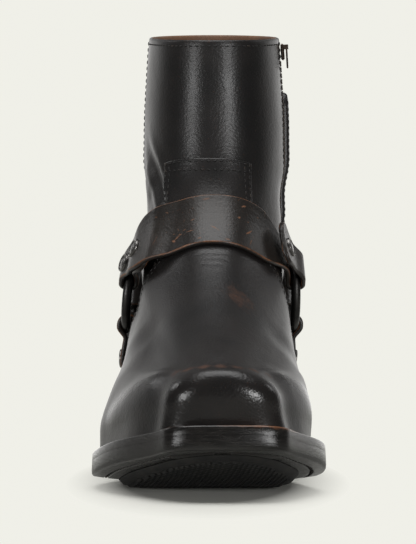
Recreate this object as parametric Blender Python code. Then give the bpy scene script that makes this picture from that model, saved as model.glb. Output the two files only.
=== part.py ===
"""Right-foot harness boot: a leather upper on a welted sole, a ring harness and a zip on the inner side.

Lengths are millimetres until a mesh is made. X is sideways, positive on the inner side of the foot,
Z is the height above the floor, and "along" runs forward from the back of the sole to the toe, so
that Y is half the sole length minus along.
"""

import math

import bmesh
import bpy
import numpy as np
from mathutils import Matrix, Vector
from mathutils.bvhtree import BVHTree

MM = 0.001

# Sole
SOLE_LENGTH = 312.0
GAP = 0.3
SEAT_GAP = 0.5
OUTSOLE_THICKNESS = 7.2
WELT_THICKNESS = 4.2
WELT_WIDTH = 11.0
INSOLE_THICKNESS = 3.6
TREAD_THICKNESS = 3.0
TREAD_INSET = 13.0
TREAD_CHAMFER = 2.5
TREAD_FROM = 150.0
FLAT_FROM = 181.0
FLAT_TO = 207.0
FLAT_HALF = 24.0
CROWN = 2.5
SOLE_STACK = OUTSOLE_THICKNESS + GAP + WELT_THICKNESS
HEEL_ROUND = 34.0
TOE_ROUND = 13.0
TOE_SQUARE = 3.4

# Heel
HEEL_BREAST = 80.0
HEEL_BREAST_SLOPE = 7.0
HEEL_BACK_SLOPE = 4.0
HEEL_TAPER = 2.6
HEEL_LIFT_COUNT = 4
HEEL_TOP_LIFT = 6.5
HEEL_SEAT = 36.0

# Upper
WALL = 2.2
SHAFT_SIDE = 3.1
UPPER_COLUMNS = 26
VAMP_TO = 0.775
ZIP_FROM = 0.44
UPPER_HEIGHTS = [
    0.0, 0.03, 0.06, 0.082, 0.108, 0.149, 0.20, 0.257, 0.315, 0.375, ZIP_FROM, 0.49, 0.54,
    0.60, 0.656, 0.70, 0.743, VAMP_TO, 0.85, 0.925, 1.0,
]
VAMP_THICKNESS = 1.5
VAMP_CLEAR = 0.45

# Zip on the inner side
ZIP_ALONG = 92.0
ZIP_COLUMN = 10
ZIP_SLOT = 8.4
GUARD_WIDTH = 22.0
GUARD_THICKNESS = 2.4
GUARD_FROM = 0.46
GUARD_TO = 0.895
GUARD_CLEAR = 0.45
TAPE_FACE = -0.7
CHAIN_FACE = 0.2
CHAIN_HALF = 2.0
SLIDER_HEIGHT = 0.974
SLIDER_SIZE = (7.4, 8.4, 1.8)
LUG_SIZE = (1.2, 2.2, 2.4)
LUG_REACH = 2.9
PIN_RADIUS = 0.35
PIN_OUT = 1.2
EYE_RADIUS = 0.95
EYE_HOLE = 0.6
PULL_WIDTH = 5.6
PULL_THICKNESS = 0.9
PULL_LENGTH = 10.0

# Harness
RING_ALONG = 118.0
RING_UP = 93.0
RING_RADIUS = 18.5
WIRE_RADIUS = 2.0
STRAP_THICKNESS = 2.4
STRAP_LAYER_GAP = 0.5
FOLD_RADIUS = 2.65
FOLD_REACH = 15.8
LOOP_WIDTH = 15.0
FOLD_ROWS = 6
TAIL_ROWS = 8
INSTEP_ANGLE = 35.0
INSTEP_WIDTH = 32.0
INSTEP_CLEAR = 2.5
HEEL_STRAP_ANGLE = 178.0
HEEL_STRAP_WIDTH = 21.0
HEEL_STRAP_CLEAR = 1.1
DOWN_ANGLE = -93.0
DOWN_WIDTH = 19.0
RING_CLEAR = {INSTEP_ANGLE: 1.5, HEEL_STRAP_ANGLE: 1.5, DOWN_ANGLE: 3.4}
STUD_RADIUS = 4.8
STUD_HEIGHT = 2.6

# Bottom of the outsole along the middle: along, up
SOLE_PROFILE = (
    (0.0, 40.0),
    (40.0, 39.0),
    (78.0, 36.3),
    (100.0, 30.8),
    (125.0, 20.6),
    (150.0, 10.4),
    (168.0, 5.2),
    (181.0, 3.3),
    (194.0, 3.2),
    (207.0, 3.3),
    (222.0, 5.0),
    (240.0, 8.5),
    (262.0, 13.2),
    (285.0, 18.6),
    (312.0, 24.6),
)

# Edge of the sole in plan: along, half width, middle line
SOLE_PLAN = (
    (0.0, 32.6, 2.0),
    (20.0, 34.6, 2.0),
    (45.0, 35.2, 1.8),
    (75.0, 34.9, 1.2),
    (105.0, 35.2, 0.2),
    (130.0, 37.0, -1.0),
    (155.0, 42.4, -2.6),
    (180.0, 49.3, -3.8),
    (205.0, 53.4, -2.7),
    (225.0, 54.6, 0.2),
    (245.0, 52.4, 3.3),
    (265.0, 46.0, 5.2),
    (285.0, 37.2, 6.5),
    (300.0, 30.8, 7.2),
    (312.0, 26.0, 7.5),
)

# Sections of the upper from the sole to the collar
RING_COLUMNS = (
    "back_along", "back_up", "front_along", "front_up", "follow",
    "heel", "waist", "ball", "toe", "tip", "back_round", "front_round", "front_square", "outer_slim",
)
RINGS = (
    (6.5, 51.0, 302.6, 36.5, 1.00, 30.5, 31.2, 47.2, 30.6, 23.0, 0.12, 0.042, 3.4, 0.0),
    (3.8, 58.0, 304.4, 44.0, 0.92, 31.4, 32.4, 48.2, 29.6, 22.6, 0.12, 0.042, 3.4, 0.4),
    (2.6, 68.0, 304.4, 52.4, 0.80, 31.6, 33.0, 46.6, 27.4, 21.2, 0.12, 0.045, 3.2, 1.0),
    (2.2, 80.0, 300.4, 60.6, 0.62, 31.0, 33.2, 43.2, 24.6, 19.0, 0.13, 0.065, 2.9, 3.2),
    (3.2, 93.0, 286.8, 66.8, 0.45, 29.6, 33.0, 38.8, 22.2, 17.0, 0.16, 0.125, 2.5, 3.4),
    (5.0, 105.0, 258.0, 76.6, 0.30, 28.4, 32.6, 35.4, 21.4, 16.5, 0.20, 0.210, 2.3, 3.0),
    (8.0, 119.0, 222.0, 92.0, 0.16, 28.6, 32.2, 33.0, 21.5, 17.5, 0.27, 0.300, 2.3, 0.3),
    (11.0, 134.0, 188.0, 110.0, 0.06, 30.0, 32.6, 32.2, 23.5, 20.0, 0.35, 0.380, 2.3, 0.0),
    (13.5, 150.0, 163.5, 129.5, 0.00, 32.4, 33.8, 33.2, 28.4, 26.6, 0.43, 0.450, 2.3, 0.0),
    (14.5, 167.0, 151.5, 150.0, 0.00, 35.4, 35.4, 35.4, 34.4, 34.0, 0.50, 0.500, 2.3, 0.0),
    (14.5, 186.0, 147.8, 174.0, 0.00, 35.7, 35.7, 35.7, 35.4, 35.4, 0.50, 0.500, 2.3, 0.0),
    (14.0, 206.5, 147.3, 198.0, 0.00, 34.6, 34.6, 34.6, 34.4, 34.4, 0.50, 0.500, 2.3, 0.0),
    (13.5, 227.5, 148.5, 218.5, 0.00, 33.4, 33.4, 33.4, 33.4, 33.4, 0.50, 0.500, 2.3, 0.0),
)
WIDTH_STATIONS = (0.0, 0.12, 0.40, 0.70, 0.92, 1.0)

# Back edge of the vamp: height share of the upper, along on the outer side, along on the inner side
VAMP_EDGE = (
    (0.00, 131.0, 131.0),
    (0.10, 139.0, 138.0),
    (0.20, 146.5, 145.0),
    (0.30, 153.0, 151.0),
    (0.40, 157.5, 155.5),
    (0.54, 159.0, 157.5),
    (0.656, 153.0, 152.5),
    (0.743, 145.3, 145.3),
    (0.765, 145.0, 145.0),
    (0.775, 145.4, 145.4),
)


def spline(table):
    """Return a function that runs smoothly through the rows of a table, keyed by its first column."""
    rows = np.asarray(table, float)
    knots = rows[:, 0]
    values = rows[:, 1:]
    steps = np.diff(knots)
    slopes = np.diff(values, axis=0) / steps[:, None]
    system = np.eye(len(knots))
    turns = np.zeros(values.shape)
    for i in range(1, len(knots) - 1):
        system[i, i - 1:i + 2] = steps[i - 1], 2 * (steps[i - 1] + steps[i]), steps[i]
        turns[i] = 6 * (slopes[i] - slopes[i - 1])
    bends = np.linalg.solve(system, turns)

    def at(key):
        key = np.clip(np.asarray(key, float), knots[0], knots[-1])
        i = np.clip(np.searchsorted(knots, key) - 1, 0, len(knots) - 2)
        step = steps[i][..., None]
        left = ((knots[i + 1] - key) / steps[i])[..., None]
        right = 1 - left
        line = left * values[i] + right * values[i + 1]
        curve = (left**3 - left) * bends[i] + (right**3 - right) * bends[i + 1]
        return line + curve * step**2 / 6

    return at


def smooth_step(value, low, high):
    """Rise from 0 at low to 1 at high."""
    t = np.clip((np.asarray(value, float) - low) / (high - low), 0.0, 1.0)
    return t * t * (3 - 2 * t)


sole_profile = spline(SOLE_PROFILE)
sole_plan = spline(SOLE_PLAN)


def points(side, along, up):
    """Join sideways, along and height values into points."""
    side, along, up = np.broadcast_arrays(side, along, up)
    return np.stack([side, SOLE_LENGTH / 2 - along, up], axis=-1).astype(float)


def sole_up(side, along):
    """Height of the outsole's bottom face, with its crown across the forefoot."""
    plan = sole_plan(along)
    flat = TREAD_THICKNESS + GAP
    middle = np.maximum(sole_profile(along)[..., 0], flat)
    reach = np.maximum(plan[..., 0] - FLAT_HALF, 12.0)
    lift = np.clip((np.abs(side - plan[..., 1]) - FLAT_HALF) / reach, 0.0, 1.2)
    fade = smooth_step(along, 135.0, 185.0) * (1 - smooth_step(along, 250.0, 300.0))
    return middle + CROWN * lift**2 * fade


def sole_half(along, inset):
    """Half width of the sole's outline, moved in by an inset, with its round heel and square toe."""
    back = np.clip((HEEL_ROUND - along) / (HEEL_ROUND - inset), 0.0, 0.975)
    toe = TOE_ROUND - 0.5 * inset
    front = np.clip((along - (SOLE_LENGTH - inset - toe)) / toe, 0.0, 0.975)
    close = (1 - back**2.1)**(1 / 2.1) * (1 - front**TOE_SQUARE)**(1 / TOE_SQUARE)
    return (sole_plan(along)[..., 0] - inset) * close


def sole_stations(start, stop, count):
    """Places along the sole, closer together towards both ends."""
    turn = np.linspace(0.0, math.pi, count)
    return start + (stop - start) * (0.35 * np.linspace(0, 1, count) + 0.65 * (1 - np.cos(turn)) / 2)


def sole_sheet(inset, lift, stations, across):
    """Grid of points over the sole's outline at a height above the outsole's bottom face."""
    along = stations[:, None] + 0 * across[None, :]
    middle = sole_plan(along)[..., 1]
    side = middle + across[None, :] * sole_half(along, inset)
    return points(side, along, sole_up(side, along) + lift)


def closed_mesh(name, outer, inner, wrap=False, keep=None):
    """Make a solid from an outer and an inner grid of points, joined round every open edge.

    Points of the outer grid that fall together are taken as one.
    """
    rows, columns = outer.shape[:2]
    cells = columns if wrap else columns - 1
    mesh = bmesh.new()
    merged = {}
    corners = {}
    for i in range(rows):
        for j in range(columns):
            place = tuple(np.round(outer[i, j], 4))
            if place not in merged:
                first = mesh.verts.new(Vector(outer[i, j]) * MM)
                second = mesh.verts.new(Vector(inner[i, j]) * MM)
                merged[place] = (len(merged), first, second)
            corners[i, j] = merged[place]
    edges = {}
    for i in range(rows - 1):
        for j in range(cells):
            if keep is not None and not keep[i, j]:
                continue
            after = (j + 1) % columns
            square = [corners[i, j], corners[i, after], corners[i + 1, after], corners[i + 1, j]]
            for triangle in (square[:3], [square[0], square[2], square[3]]):
                if len({corner[0] for corner in triangle}) < 3:
                    continue
                mesh.faces.new([corner[1] for corner in triangle])
                mesh.faces.new([corner[2] for corner in reversed(triangle)])
                for start, stop in zip(triangle, triangle[1:] + triangle[:1]):
                    if edges.pop((stop[0], start[0]), None) is None:
                        edges[start[0], stop[0]] = (start, stop)
    for start, stop in edges.values():
        mesh.faces.new([stop[1], start[1], start[2]])
        mesh.faces.new([stop[1], start[2], stop[2]])
    loose = [vert for vert in mesh.verts if not vert.link_faces]
    bmesh.ops.delete(mesh, geom=loose, context="VERTS")
    bmesh.ops.recalc_face_normals(mesh, faces=mesh.faces)
    return add_object(name, mesh)


def add_object(name, mesh):
    """Turn a bmesh into an object of the scene."""
    data = bpy.data.meshes.new(name)
    mesh.to_mesh(data)
    mesh.free()
    item = bpy.data.objects.new(name, data)
    bpy.context.scene.collection.objects.link(item)
    return item


def paint(item, colour, roughness, metallic=0.0):
    """Give an object its own material."""
    material = bpy.data.materials.new(item.name)
    material.use_nodes = True
    shader = material.node_tree.nodes["Principled BSDF"]
    shader.inputs["Base Color"].default_value = (*colour, 1.0)
    shader.inputs["Roughness"].default_value = roughness
    shader.inputs["Metallic"].default_value = metallic
    item.data.materials.clear()
    item.data.materials.append(material)
    return item


def black_leather(item):
    return paint(item, (0.025, 0.022, 0.02), 0.5)


def sole_leather(item):
    return paint(item, (0.03, 0.026, 0.023), 0.55)


def rubber(item):
    return paint(item, (0.02, 0.02, 0.02), 0.75)


def dark_metal(item):
    return paint(item, (0.08, 0.075, 0.07), 0.35, 1.0)


def ring_heights():
    """Share of the upper's height at each row of the ring table, measured up the front."""
    rows = np.asarray(RINGS, float)
    front = rows[:, 2:4]
    reach = np.concatenate([[0.0], np.cumsum(np.linalg.norm(np.diff(front, axis=0), axis=1))])
    return reach / reach[-1]


ring_table = spline(np.column_stack([ring_heights(), np.asarray(RINGS, float)]))
vamp_edge = spline(VAMP_EDGE)


def round_ends(place, back_round, front_round, front_square):
    """Factor that closes a ring at its back and front ends."""
    back = np.clip((back_round - place) / back_round, 0.0, 1.0)
    front = np.clip((place - 1 + front_round) / front_round, 0.0, 1.0)
    back_square = 2.3
    return (1 - back**back_square)**(1 / back_square) * (1 - front**front_square)**(1 / front_square)


def half_ring(height, hand, count=121):
    """Closely spaced points from back to front along one side of the upper; hand is -1 outer or 1 inner."""
    ring = dict(zip(RING_COLUMNS, ring_table(height)))
    base = dict(zip(RING_COLUMNS, RINGS[0]))
    place = (1 - np.cos(np.linspace(0.0, math.pi, count))) / 2
    along = ring["back_along"] + place * (ring["front_along"] - ring["back_along"])
    widths = [ring["heel"], ring["heel"], ring["waist"], ring["ball"], ring["toe"], ring["tip"]]
    width = spline(np.column_stack([WIDTH_STATIONS, widths]))(place)[..., 0]
    half = width * round_ends(place, ring["back_round"], ring["front_round"], ring["front_square"])
    if hand < 0:
        half = half - ring["outer_slim"] * smooth_step(place, 0.50, 0.65) * (1 - smooth_step(place, 0.8, 0.95))
    middle = ring["follow"] * (sole_plan(along)[..., 1] - 0.8) + (1 - ring["follow"]) * SHAFT_SIDE
    side = middle + hand * half
    chord = ring["back_up"] + place * (ring["front_up"] - ring["back_up"])
    base_chord = base["back_up"] + place * (base["front_up"] - base["back_up"])
    feather = sole_up(side, along) + SOLE_STACK + SEAT_GAP
    return points(side, along, chord + ring["follow"] * (feather - base_chord))


def line_length(line):
    return float(np.sum(np.linalg.norm(np.diff(line, axis=0), axis=1)))


def shares_of(line):
    """Share of a line's length at each of its points."""
    reach = np.concatenate([[0.0], np.cumsum(np.linalg.norm(np.diff(line, axis=0), axis=1))])
    return reach / reach[-1]


ring_store = {}


def whole_ring(height):
    """Turns and points round the upper at a height: turn 0 at the back, 1 at the front, 2 at the back again."""
    if height not in ring_store:
        outer_side = half_ring(height, -1)
        inner_side = half_ring(height, 1)
        turns = np.concatenate([shares_of(outer_side), 2 - shares_of(inner_side)[-2::-1]])
        ring_store[height] = (turns, np.concatenate([outer_side, inner_side[-2::-1]]))
    return ring_store[height]


def on_ring(height, turns):
    """Points on the upper's outer face at a height."""
    known, line = whole_ring(height)
    turns = np.asarray(turns, float) % 2.0
    return np.stack([np.interp(turns, known, line[:, k]) for k in range(3)], axis=-1)


def upper_face(heights, turns, distance, level_rims=True):
    """Grid of points at a distance outside the upper's outer face, one row of turns for each height."""
    near = 0.004
    grid = []
    for row, (height, turn) in enumerate(zip(heights, turns)):
        rise = on_ring(min(height + near, 1.0), turn) - on_ring(max(height - near, 0.0), turn)
        across = on_ring(height, turn + near) - on_ring(height, turn - near)
        normal = np.cross(across, rise)
        if level_rims and row in (0, len(heights) - 1):
            normal[:, 2] = 0.0
        normal = normal / np.linalg.norm(normal, axis=-1, keepdims=True)
        grid.append(on_ring(height, turn) + normal * np.asarray(distance)[..., None])
    return np.array(grid)


def turn_at_along(height, along, hand):
    """Turn at which one side of a ring reaches a place along the boot."""
    turns, line = whole_ring(height)
    side = turns <= 1.0 if hand < 0 else turns >= 1.0
    places = SOLE_LENGTH / 2 - line[side, 1]
    turns = turns[side]
    if hand > 0:
        places = places[::-1]
        turns = turns[::-1]
    return float(np.interp(along, places, turns))


def turn_per_length(height, hand):
    """Turn covered by one millimetre along one side of a ring."""
    return 1.0 / line_length(half_ring(height, hand))


def zip_turns(height, reaches):
    """Turns at given distances in front of the zip's middle line."""
    middle = turn_at_along(height, ZIP_ALONG, 1)
    return middle - np.asarray(reaches) * turn_per_length(height, 1)


def upper_turns(height):
    """Columns of the upper at a height, closer together round the toe, with two on the zip's slot."""
    even = np.linspace(0.0, 1.0, UPPER_COLUMNS + 1)
    shares = even + 0.11 * np.sin(math.pi * even)
    front, back = zip_turns(height, [ZIP_SLOT / 2, -ZIP_SLOT / 2])
    behind = shares[:ZIP_COLUMN + 1] * (2 - back) / shares[ZIP_COLUMN]
    ahead = 1 - (1 - shares[ZIP_COLUMN + 1:]) * (front - 1) / (1 - shares[ZIP_COLUMN + 1])
    inner_shares = np.concatenate([behind, ahead])
    return np.concatenate([shares[:-1], 2 - inner_shares[:0:-1]])


def make_upper():
    heights = UPPER_HEIGHTS
    turns = [upper_turns(height) for height in heights]
    keep = np.ones((len(heights) - 1, len(turns[0])), bool)
    keep[heights.index(ZIP_FROM):, 2 * UPPER_COLUMNS - ZIP_COLUMN - 1] = False
    outer = upper_face(heights, turns, 0.0)
    inner = upper_face(heights, turns, -WALL)
    return black_leather(closed_mesh("upper", outer, inner, wrap=True, keep=keep))


def seat_on_welt(grid):
    """Set the lowest row of a grid just above the welt."""
    row = grid[0]
    row[:, 2] = sole_up(row[:, 0], SOLE_LENGTH / 2 - row[:, 1]) + SOLE_STACK + SEAT_GAP
    return grid


def make_vamp():
    heights = [height for height in UPPER_HEIGHTS if height <= VAMP_TO]
    turns = []
    for height in heights:
        outer_edge, inner_edge = vamp_edge(height)
        start = turn_at_along(height, outer_edge, -1)
        stop = turn_at_along(height, inner_edge, 1)
        turns.append(np.clip(upper_turns(height), start, stop))
    inner = seat_on_welt(upper_face(heights, turns, VAMP_CLEAR))
    outer = seat_on_welt(upper_face(heights, turns, VAMP_CLEAR + VAMP_THICKNESS))
    return black_leather(closed_mesh("vamp", outer, inner))


def make_outsole():
    stations = sole_stations(0.0, SOLE_LENGTH, 30)
    across = np.array([-1.0, -0.82, -0.6, 0.6, 0.82, 1.0])
    bottom = sole_sheet(0.0, 0.0, stations, across)
    top = sole_sheet(0.5, OUTSOLE_THICKNESS, stations, across)
    return sole_leather(closed_mesh("outsole", top, bottom))


def sole_loop(inset, lift, count):
    """Closed loop of points along the sole's outline."""
    stations = np.clip(sole_stations(0.0, SOLE_LENGTH, count), inset, SOLE_LENGTH - inset)
    left = sole_sheet(inset, lift, stations, np.array([-1.0]))[:, 0]
    right = sole_sheet(inset, lift, stations, np.array([1.0]))[:, 0]
    return np.concatenate([left, right[::-1]])


def make_welt():
    count = 30
    low = OUTSOLE_THICKNESS + GAP
    high = low + WELT_THICKNESS
    top = np.stack([sole_loop(inset, high, count) for inset in (WELT_WIDTH, 0.9)])
    bottom = np.stack([sole_loop(inset, low, count) for inset in (WELT_WIDTH, 0.4)])
    return sole_leather(closed_mesh("welt", top, bottom, wrap=True))


def make_insole():
    inset = WELT_WIDTH + GAP
    stations = np.unique(np.clip(sole_stations(0.0, SOLE_LENGTH, 30), inset, SOLE_LENGTH - inset))
    across = np.array([-1.0, 0.0, 1.0])
    low = OUTSOLE_THICKNESS + GAP
    bottom = sole_sheet(inset, low, stations, across)
    top = sole_sheet(inset, low + INSOLE_THICKNESS, stations, across)
    return paint(closed_mesh("insole", top, bottom), (0.2, 0.13, 0.08), 0.7)


def make_tread():
    """Rubber pad with chamfered sides, flat on the floor where the boot stands."""
    stations = np.unique(np.concatenate([
        np.linspace(TREAD_FROM, FLAT_FROM, 6),
        [FLAT_FROM, FLAT_TO],
        sole_stations(FLAT_TO, SOLE_LENGTH - TREAD_INSET, 14),
    ]))
    across = np.array([-1.0, -0.5, 0.5, 1.0])
    top = sole_sheet(TREAD_INSET, -GAP - 0.15, stations, across)
    shrink = (SOLE_LENGTH - TREAD_INSET - TREAD_CHAMFER - TREAD_FROM) / (SOLE_LENGTH - TREAD_INSET - TREAD_FROM)
    lower = TREAD_FROM + (stations - TREAD_FROM) * shrink
    lower[0] += TREAD_CHAMFER
    lower[np.isclose(stations, FLAT_FROM)] = FLAT_FROM
    lower[np.isclose(stations, FLAT_TO)] = FLAT_TO
    bottom = sole_sheet(TREAD_INSET + TREAD_CHAMFER, -GAP - TREAD_THICKNESS, lower, across)
    standing = (lower >= FLAT_FROM - 0.01) & (lower <= FLAT_TO + 0.01)
    for row in np.flatnonzero(standing):
        bottom[row, 1:3, 2] = 0.0
    bottom[..., 2] = np.maximum(bottom[..., 2], 0.0)
    return rubber(closed_mesh("forefoot_tread", top, bottom))


def heel_sheet(up, rows, across, seat=False):
    """Level slice of the heel, narrower towards the floor; the seat slice follows the outsole."""
    drop = 1 - up / HEEL_SEAT
    inset = 0.8 + HEEL_TAPER * drop
    start = inset + HEEL_BACK_SLOPE * drop
    breast = HEEL_BREAST - HEEL_BREAST_SLOPE * drop
    share = 1 - np.cos(np.linspace(0.0, math.pi / 2, rows))
    along = start + share[:, None] * (breast - start) + 0 * across[None, :]
    along = along - 3.5 * (1 - across[None, :]**2) * share[:, None]**3
    place = HEEL_ROUND * (along - start) / (HEEL_ROUND - start) + inset * (1 - share[:, None])
    side = sole_plan(along)[..., 1] + across[None, :] * sole_half(np.maximum(place, inset), inset)
    if seat:
        return points(side, along, sole_up(side, along) - GAP)
    return points(side, along, up)


def make_heel():
    rows = 10
    across = np.array([-1.0, 0.0, 1.0])
    lift = heel_sheet(HEEL_TOP_LIFT, rows, across)
    rubber(closed_mesh("heel_top_lift", lift, heel_sheet(0.0, rows, across)))
    height = (HEEL_SEAT - GAP - HEEL_TOP_LIFT) / HEEL_LIFT_COUNT
    for index in range(HEEL_LIFT_COUNT):
        low = HEEL_TOP_LIFT + index * height + GAP
        last = index == HEEL_LIFT_COUNT - 1
        top = heel_sheet(low + height - GAP, rows, across, seat=last)
        sole_leather(closed_mesh(f"heel_lift_{index + 1}", top, heel_sheet(low, rows, across)))


def make_zip_guard():
    heights = np.linspace(GUARD_FROM, GUARD_TO, 9)
    turns = []
    for height in heights:
        corner = np.clip((GUARD_TO - height) / 0.03, 0.0, 1.0)
        inset = 5.0 * (1 - math.sqrt(1 - (1 - corner)**2))
        start = ZIP_SLOT / 2 + 0.8 + inset
        stop = ZIP_SLOT / 2 + 0.8 + GUARD_WIDTH - inset
        turns.append(zip_turns(height, -np.linspace(start, stop, 5)))
    inner = upper_face(heights, turns, GUARD_CLEAR)
    outer = upper_face(heights, turns, GUARD_CLEAR + GUARD_THICKNESS)
    return black_leather(closed_mesh("zip_guard", outer, inner))


def make_zip():
    """Tape in the upper's slot with a raised chain down its middle."""
    heights = np.concatenate([[ZIP_FROM + 0.004], np.linspace(0.49, 0.94, 9), [0.985]])
    edge = ZIP_SLOT / 2 - GAP - 0.1
    reaches = np.array([edge, CHAIN_HALF + 0.3, CHAIN_HALF, -CHAIN_HALF, -CHAIN_HALF - 0.3, -edge])
    faces = np.array([TAPE_FACE, TAPE_FACE, CHAIN_FACE, CHAIN_FACE, TAPE_FACE, TAPE_FACE])
    turns = [zip_turns(height, reaches) for height in heights]
    outer = upper_face(heights, turns, faces)
    inner = upper_face(heights, turns, -WALL + 0.2)
    return paint(closed_mesh("zip", outer, inner), (0.03, 0.03, 0.03), 0.6)


def slider_frame():
    """Matrix whose X points back along the boot, Y up the zip and Z out, on the zip's chain."""
    turn = zip_turns(SLIDER_HEIGHT, [0.0])
    place = on_ring(SLIDER_HEIGHT, turn)[0]
    rise = on_ring(SLIDER_HEIGHT + 0.02, zip_turns(SLIDER_HEIGHT + 0.02, [0.0]))[0] - place
    back = on_ring(SLIDER_HEIGHT, turn + 0.02)[0] - place
    up = Vector(rise).normalized()
    out = Vector(back).cross(up).normalized()
    back = up.cross(out).normalized()
    turned = Matrix((back, up, out)).transposed().to_4x4()
    return Matrix.Translation(Vector(place) + out * (CHAIN_FACE + GAP + 0.1)) @ turned


def block(size, centre, bevel=0.0):
    mesh = bmesh.new()
    bmesh.ops.create_cube(mesh, size=1.0, matrix=Matrix.Translation(centre) @ Matrix.Diagonal((*size, 1.0)))
    if bevel:
        bmesh.ops.bevel(mesh, geom=mesh.edges[:], offset=bevel, segments=1, affect="EDGES")
    return mesh


def rod(radius, length, centre, axis, sides=14):
    mesh = bmesh.new()
    turned = Vector((0, 0, 1)).rotation_difference(Vector(axis)).to_matrix().to_4x4()
    bmesh.ops.create_cone(
        mesh, cap_ends=True, segments=sides, radius1=radius, radius2=radius, depth=length,
        matrix=Matrix.Translation(centre) @ turned,
    )
    return mesh


def combine(name, first, others):
    """Join or cut solids; others lists pairs of an operation and a bmesh."""
    item = add_object(name, first)
    helpers = []
    for operation, mesh in others:
        helper = add_object(name + "_cut", mesh)
        helpers.append(helper)
        modifier = item.modifiers.new(operation, "BOOLEAN")
        modifier.operation = operation
        modifier.solver = "EXACT"
        modifier.object = helper
    graph = bpy.context.evaluated_depsgraph_get()
    shaped = bpy.data.meshes.new_from_object(item.evaluated_get(graph))
    item.modifiers.clear()
    item.data = shaped
    for helper in helpers:
        bpy.data.objects.remove(helper, do_unlink=True)
    return item


def place_in_frame(item, frame, origin):
    """Set a piece made in millimetres round a frame, with its own origin at a point of that frame."""
    item.data.transform(Matrix.Translation(-Vector(origin)))
    item.data.transform(Matrix.Diagonal((MM, MM, MM, 1.0)))
    where = frame @ Vector(origin)
    item.matrix_world = Matrix.Translation(where * MM) @ frame.to_3x3().to_4x4()
    return item


def pin_centre():
    return Vector((0.0, 0.30 * SLIDER_SIZE[1], SLIDER_SIZE[2] + PIN_OUT))


def make_slider():
    wide, tall, deep = SLIDER_SIZE
    pin = pin_centre()
    parts = []
    for hand in (-1, 1):
        lug_place = Vector((hand * LUG_REACH, pin.y, deep + LUG_SIZE[2] / 2 - 0.3))
        parts.append(("UNION", block(LUG_SIZE, lug_place)))
    parts.append(("UNION", rod(PIN_RADIUS, 2 * LUG_REACH, pin, (1, 0, 0))))
    body = block((wide, tall, deep), Vector((0, 0, deep / 2)), bevel=0.7)
    return dark_metal(place_in_frame(combine("zip_slider", body, parts), slider_frame(), (0, 0, 0)))


def make_pull():
    """Tab that hangs on the slider's pin; its origin lies on the pin."""
    pin = pin_centre()
    neck = 2 * (LUG_REACH - LUG_SIZE[0] / 2 - GAP)
    drop = Vector((0, -PULL_LENGTH / 2 - 1.0, 0))
    parts = [
        ("UNION", block((neck, 4.0, PULL_THICKNESS), pin + Vector((0, -2.0, 0)))),
        ("UNION", block((PULL_WIDTH, PULL_LENGTH - 2.0, PULL_THICKNESS), pin + drop - Vector((0, 1.0, 0)), 0.35)),
        ("DIFFERENCE", rod(EYE_HOLE, neck + 2.0, pin, (1, 0, 0))),
        ("DIFFERENCE", rod(1.3, 6.0, pin + Vector((0, -PULL_LENGTH + 3.0, 0)), (0, 0, 1))),
    ]
    eye = rod(EYE_RADIUS, neck, pin, (1, 0, 0))
    return dark_metal(place_in_frame(combine("zip_pull", eye, parts), slider_frame(), pin))


def face_tree():
    """Search tree over the upper's outer face."""
    heights = np.linspace(0.0, 1.0, 80)
    turns = np.linspace(0.0, 2.0, 161)[:-1]
    grid = np.array([on_ring(height, turns) for height in heights])
    columns = len(turns)
    faces = []
    for i in range(len(heights) - 1):
        for j in range(columns):
            after = (j + 1) % columns
            faces.append((i * columns + j, i * columns + after, (i + 1) * columns + after, (i + 1) * columns + j))
    return BVHTree.FromPolygons([Vector(p) for p in grid.reshape(-1, 3)], faces)


def side_at(tree, along, up, hand):
    """Sideways place of the upper's outer face beside a point inside the boot."""
    start = Vector((SHAFT_SIDE, SOLE_LENGTH / 2 - along, up))
    return tree.ray_cast(start, Vector((hand, 0, 0)))[0].x


def ring_spot(angle, reach):
    """Along and height at an angle and distance from a ring's middle, seen from the side."""
    return RING_ALONG + reach * math.cos(math.radians(angle)), RING_UP + reach * math.sin(math.radians(angle))


def ring_plane(tree, hand):
    """Coefficients of the plane a ring lies in: side = a + b * along + c * up."""
    out = STRAP_THICKNESS + FOLD_RADIUS
    rows = []
    sides = []
    for angle, clear in RING_CLEAR.items():
        along, up = ring_spot(angle, RING_RADIUS)
        rows.append((1.0, along, up))
        sides.append(side_at(tree, along, up, hand) + hand * (clear + out))
    return np.linalg.solve(np.array(rows), np.array(sides))


def torus(name, centre, normal, radius, wire, around=24, across=7):
    turned = Vector((0, 0, 1)).rotation_difference(Vector(normal)).to_matrix()
    mesh = bmesh.new()
    rows = []
    for i in range(around):
        turn = 2 * math.pi * i / around
        row = []
        for j in range(across):
            tilt = 2 * math.pi * j / across
            reach = radius + wire * math.cos(tilt)
            local = Vector((reach * math.cos(turn), reach * math.sin(turn), wire * math.sin(tilt)))
            row.append(mesh.verts.new((Vector(centre) + turned @ local) * MM))
        rows.append(row)
    for i in range(around):
        for j in range(across):
            ahead, beside = rows[(i + 1) % around], (j + 1) % across
            mesh.faces.new([rows[i][j], ahead[j], ahead[beside], rows[i][beside]])
    bmesh.ops.triangulate(mesh, faces=mesh.faces[:])
    bmesh.ops.recalc_face_normals(mesh, faces=mesh.faces)
    return add_object(name, mesh)


def make_ring(name, plane):
    side = plane @ np.array([1.0, RING_ALONG, RING_UP])
    centre = (side, SOLE_LENGTH / 2 - RING_ALONG, RING_UP)
    normal = (1.0, plane[1], -plane[2])
    return dark_metal(torus(name, centre, normal, RING_RADIUS, WIRE_RADIUS))


def outer_hull(line):
    """Part of a flat line that a tight strap touches, from its first side to its other side."""
    hull = []
    for point in line[np.argsort(line[:, 0])]:
        while len(hull) > 1:
            first = hull[-1] - hull[-2]
            second = point - hull[-2]
            if first[0] * second[1] - first[1] * second[0] < 0:
                break
            hull.pop()
        hull.append(point)
    return np.array(hull)


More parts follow.
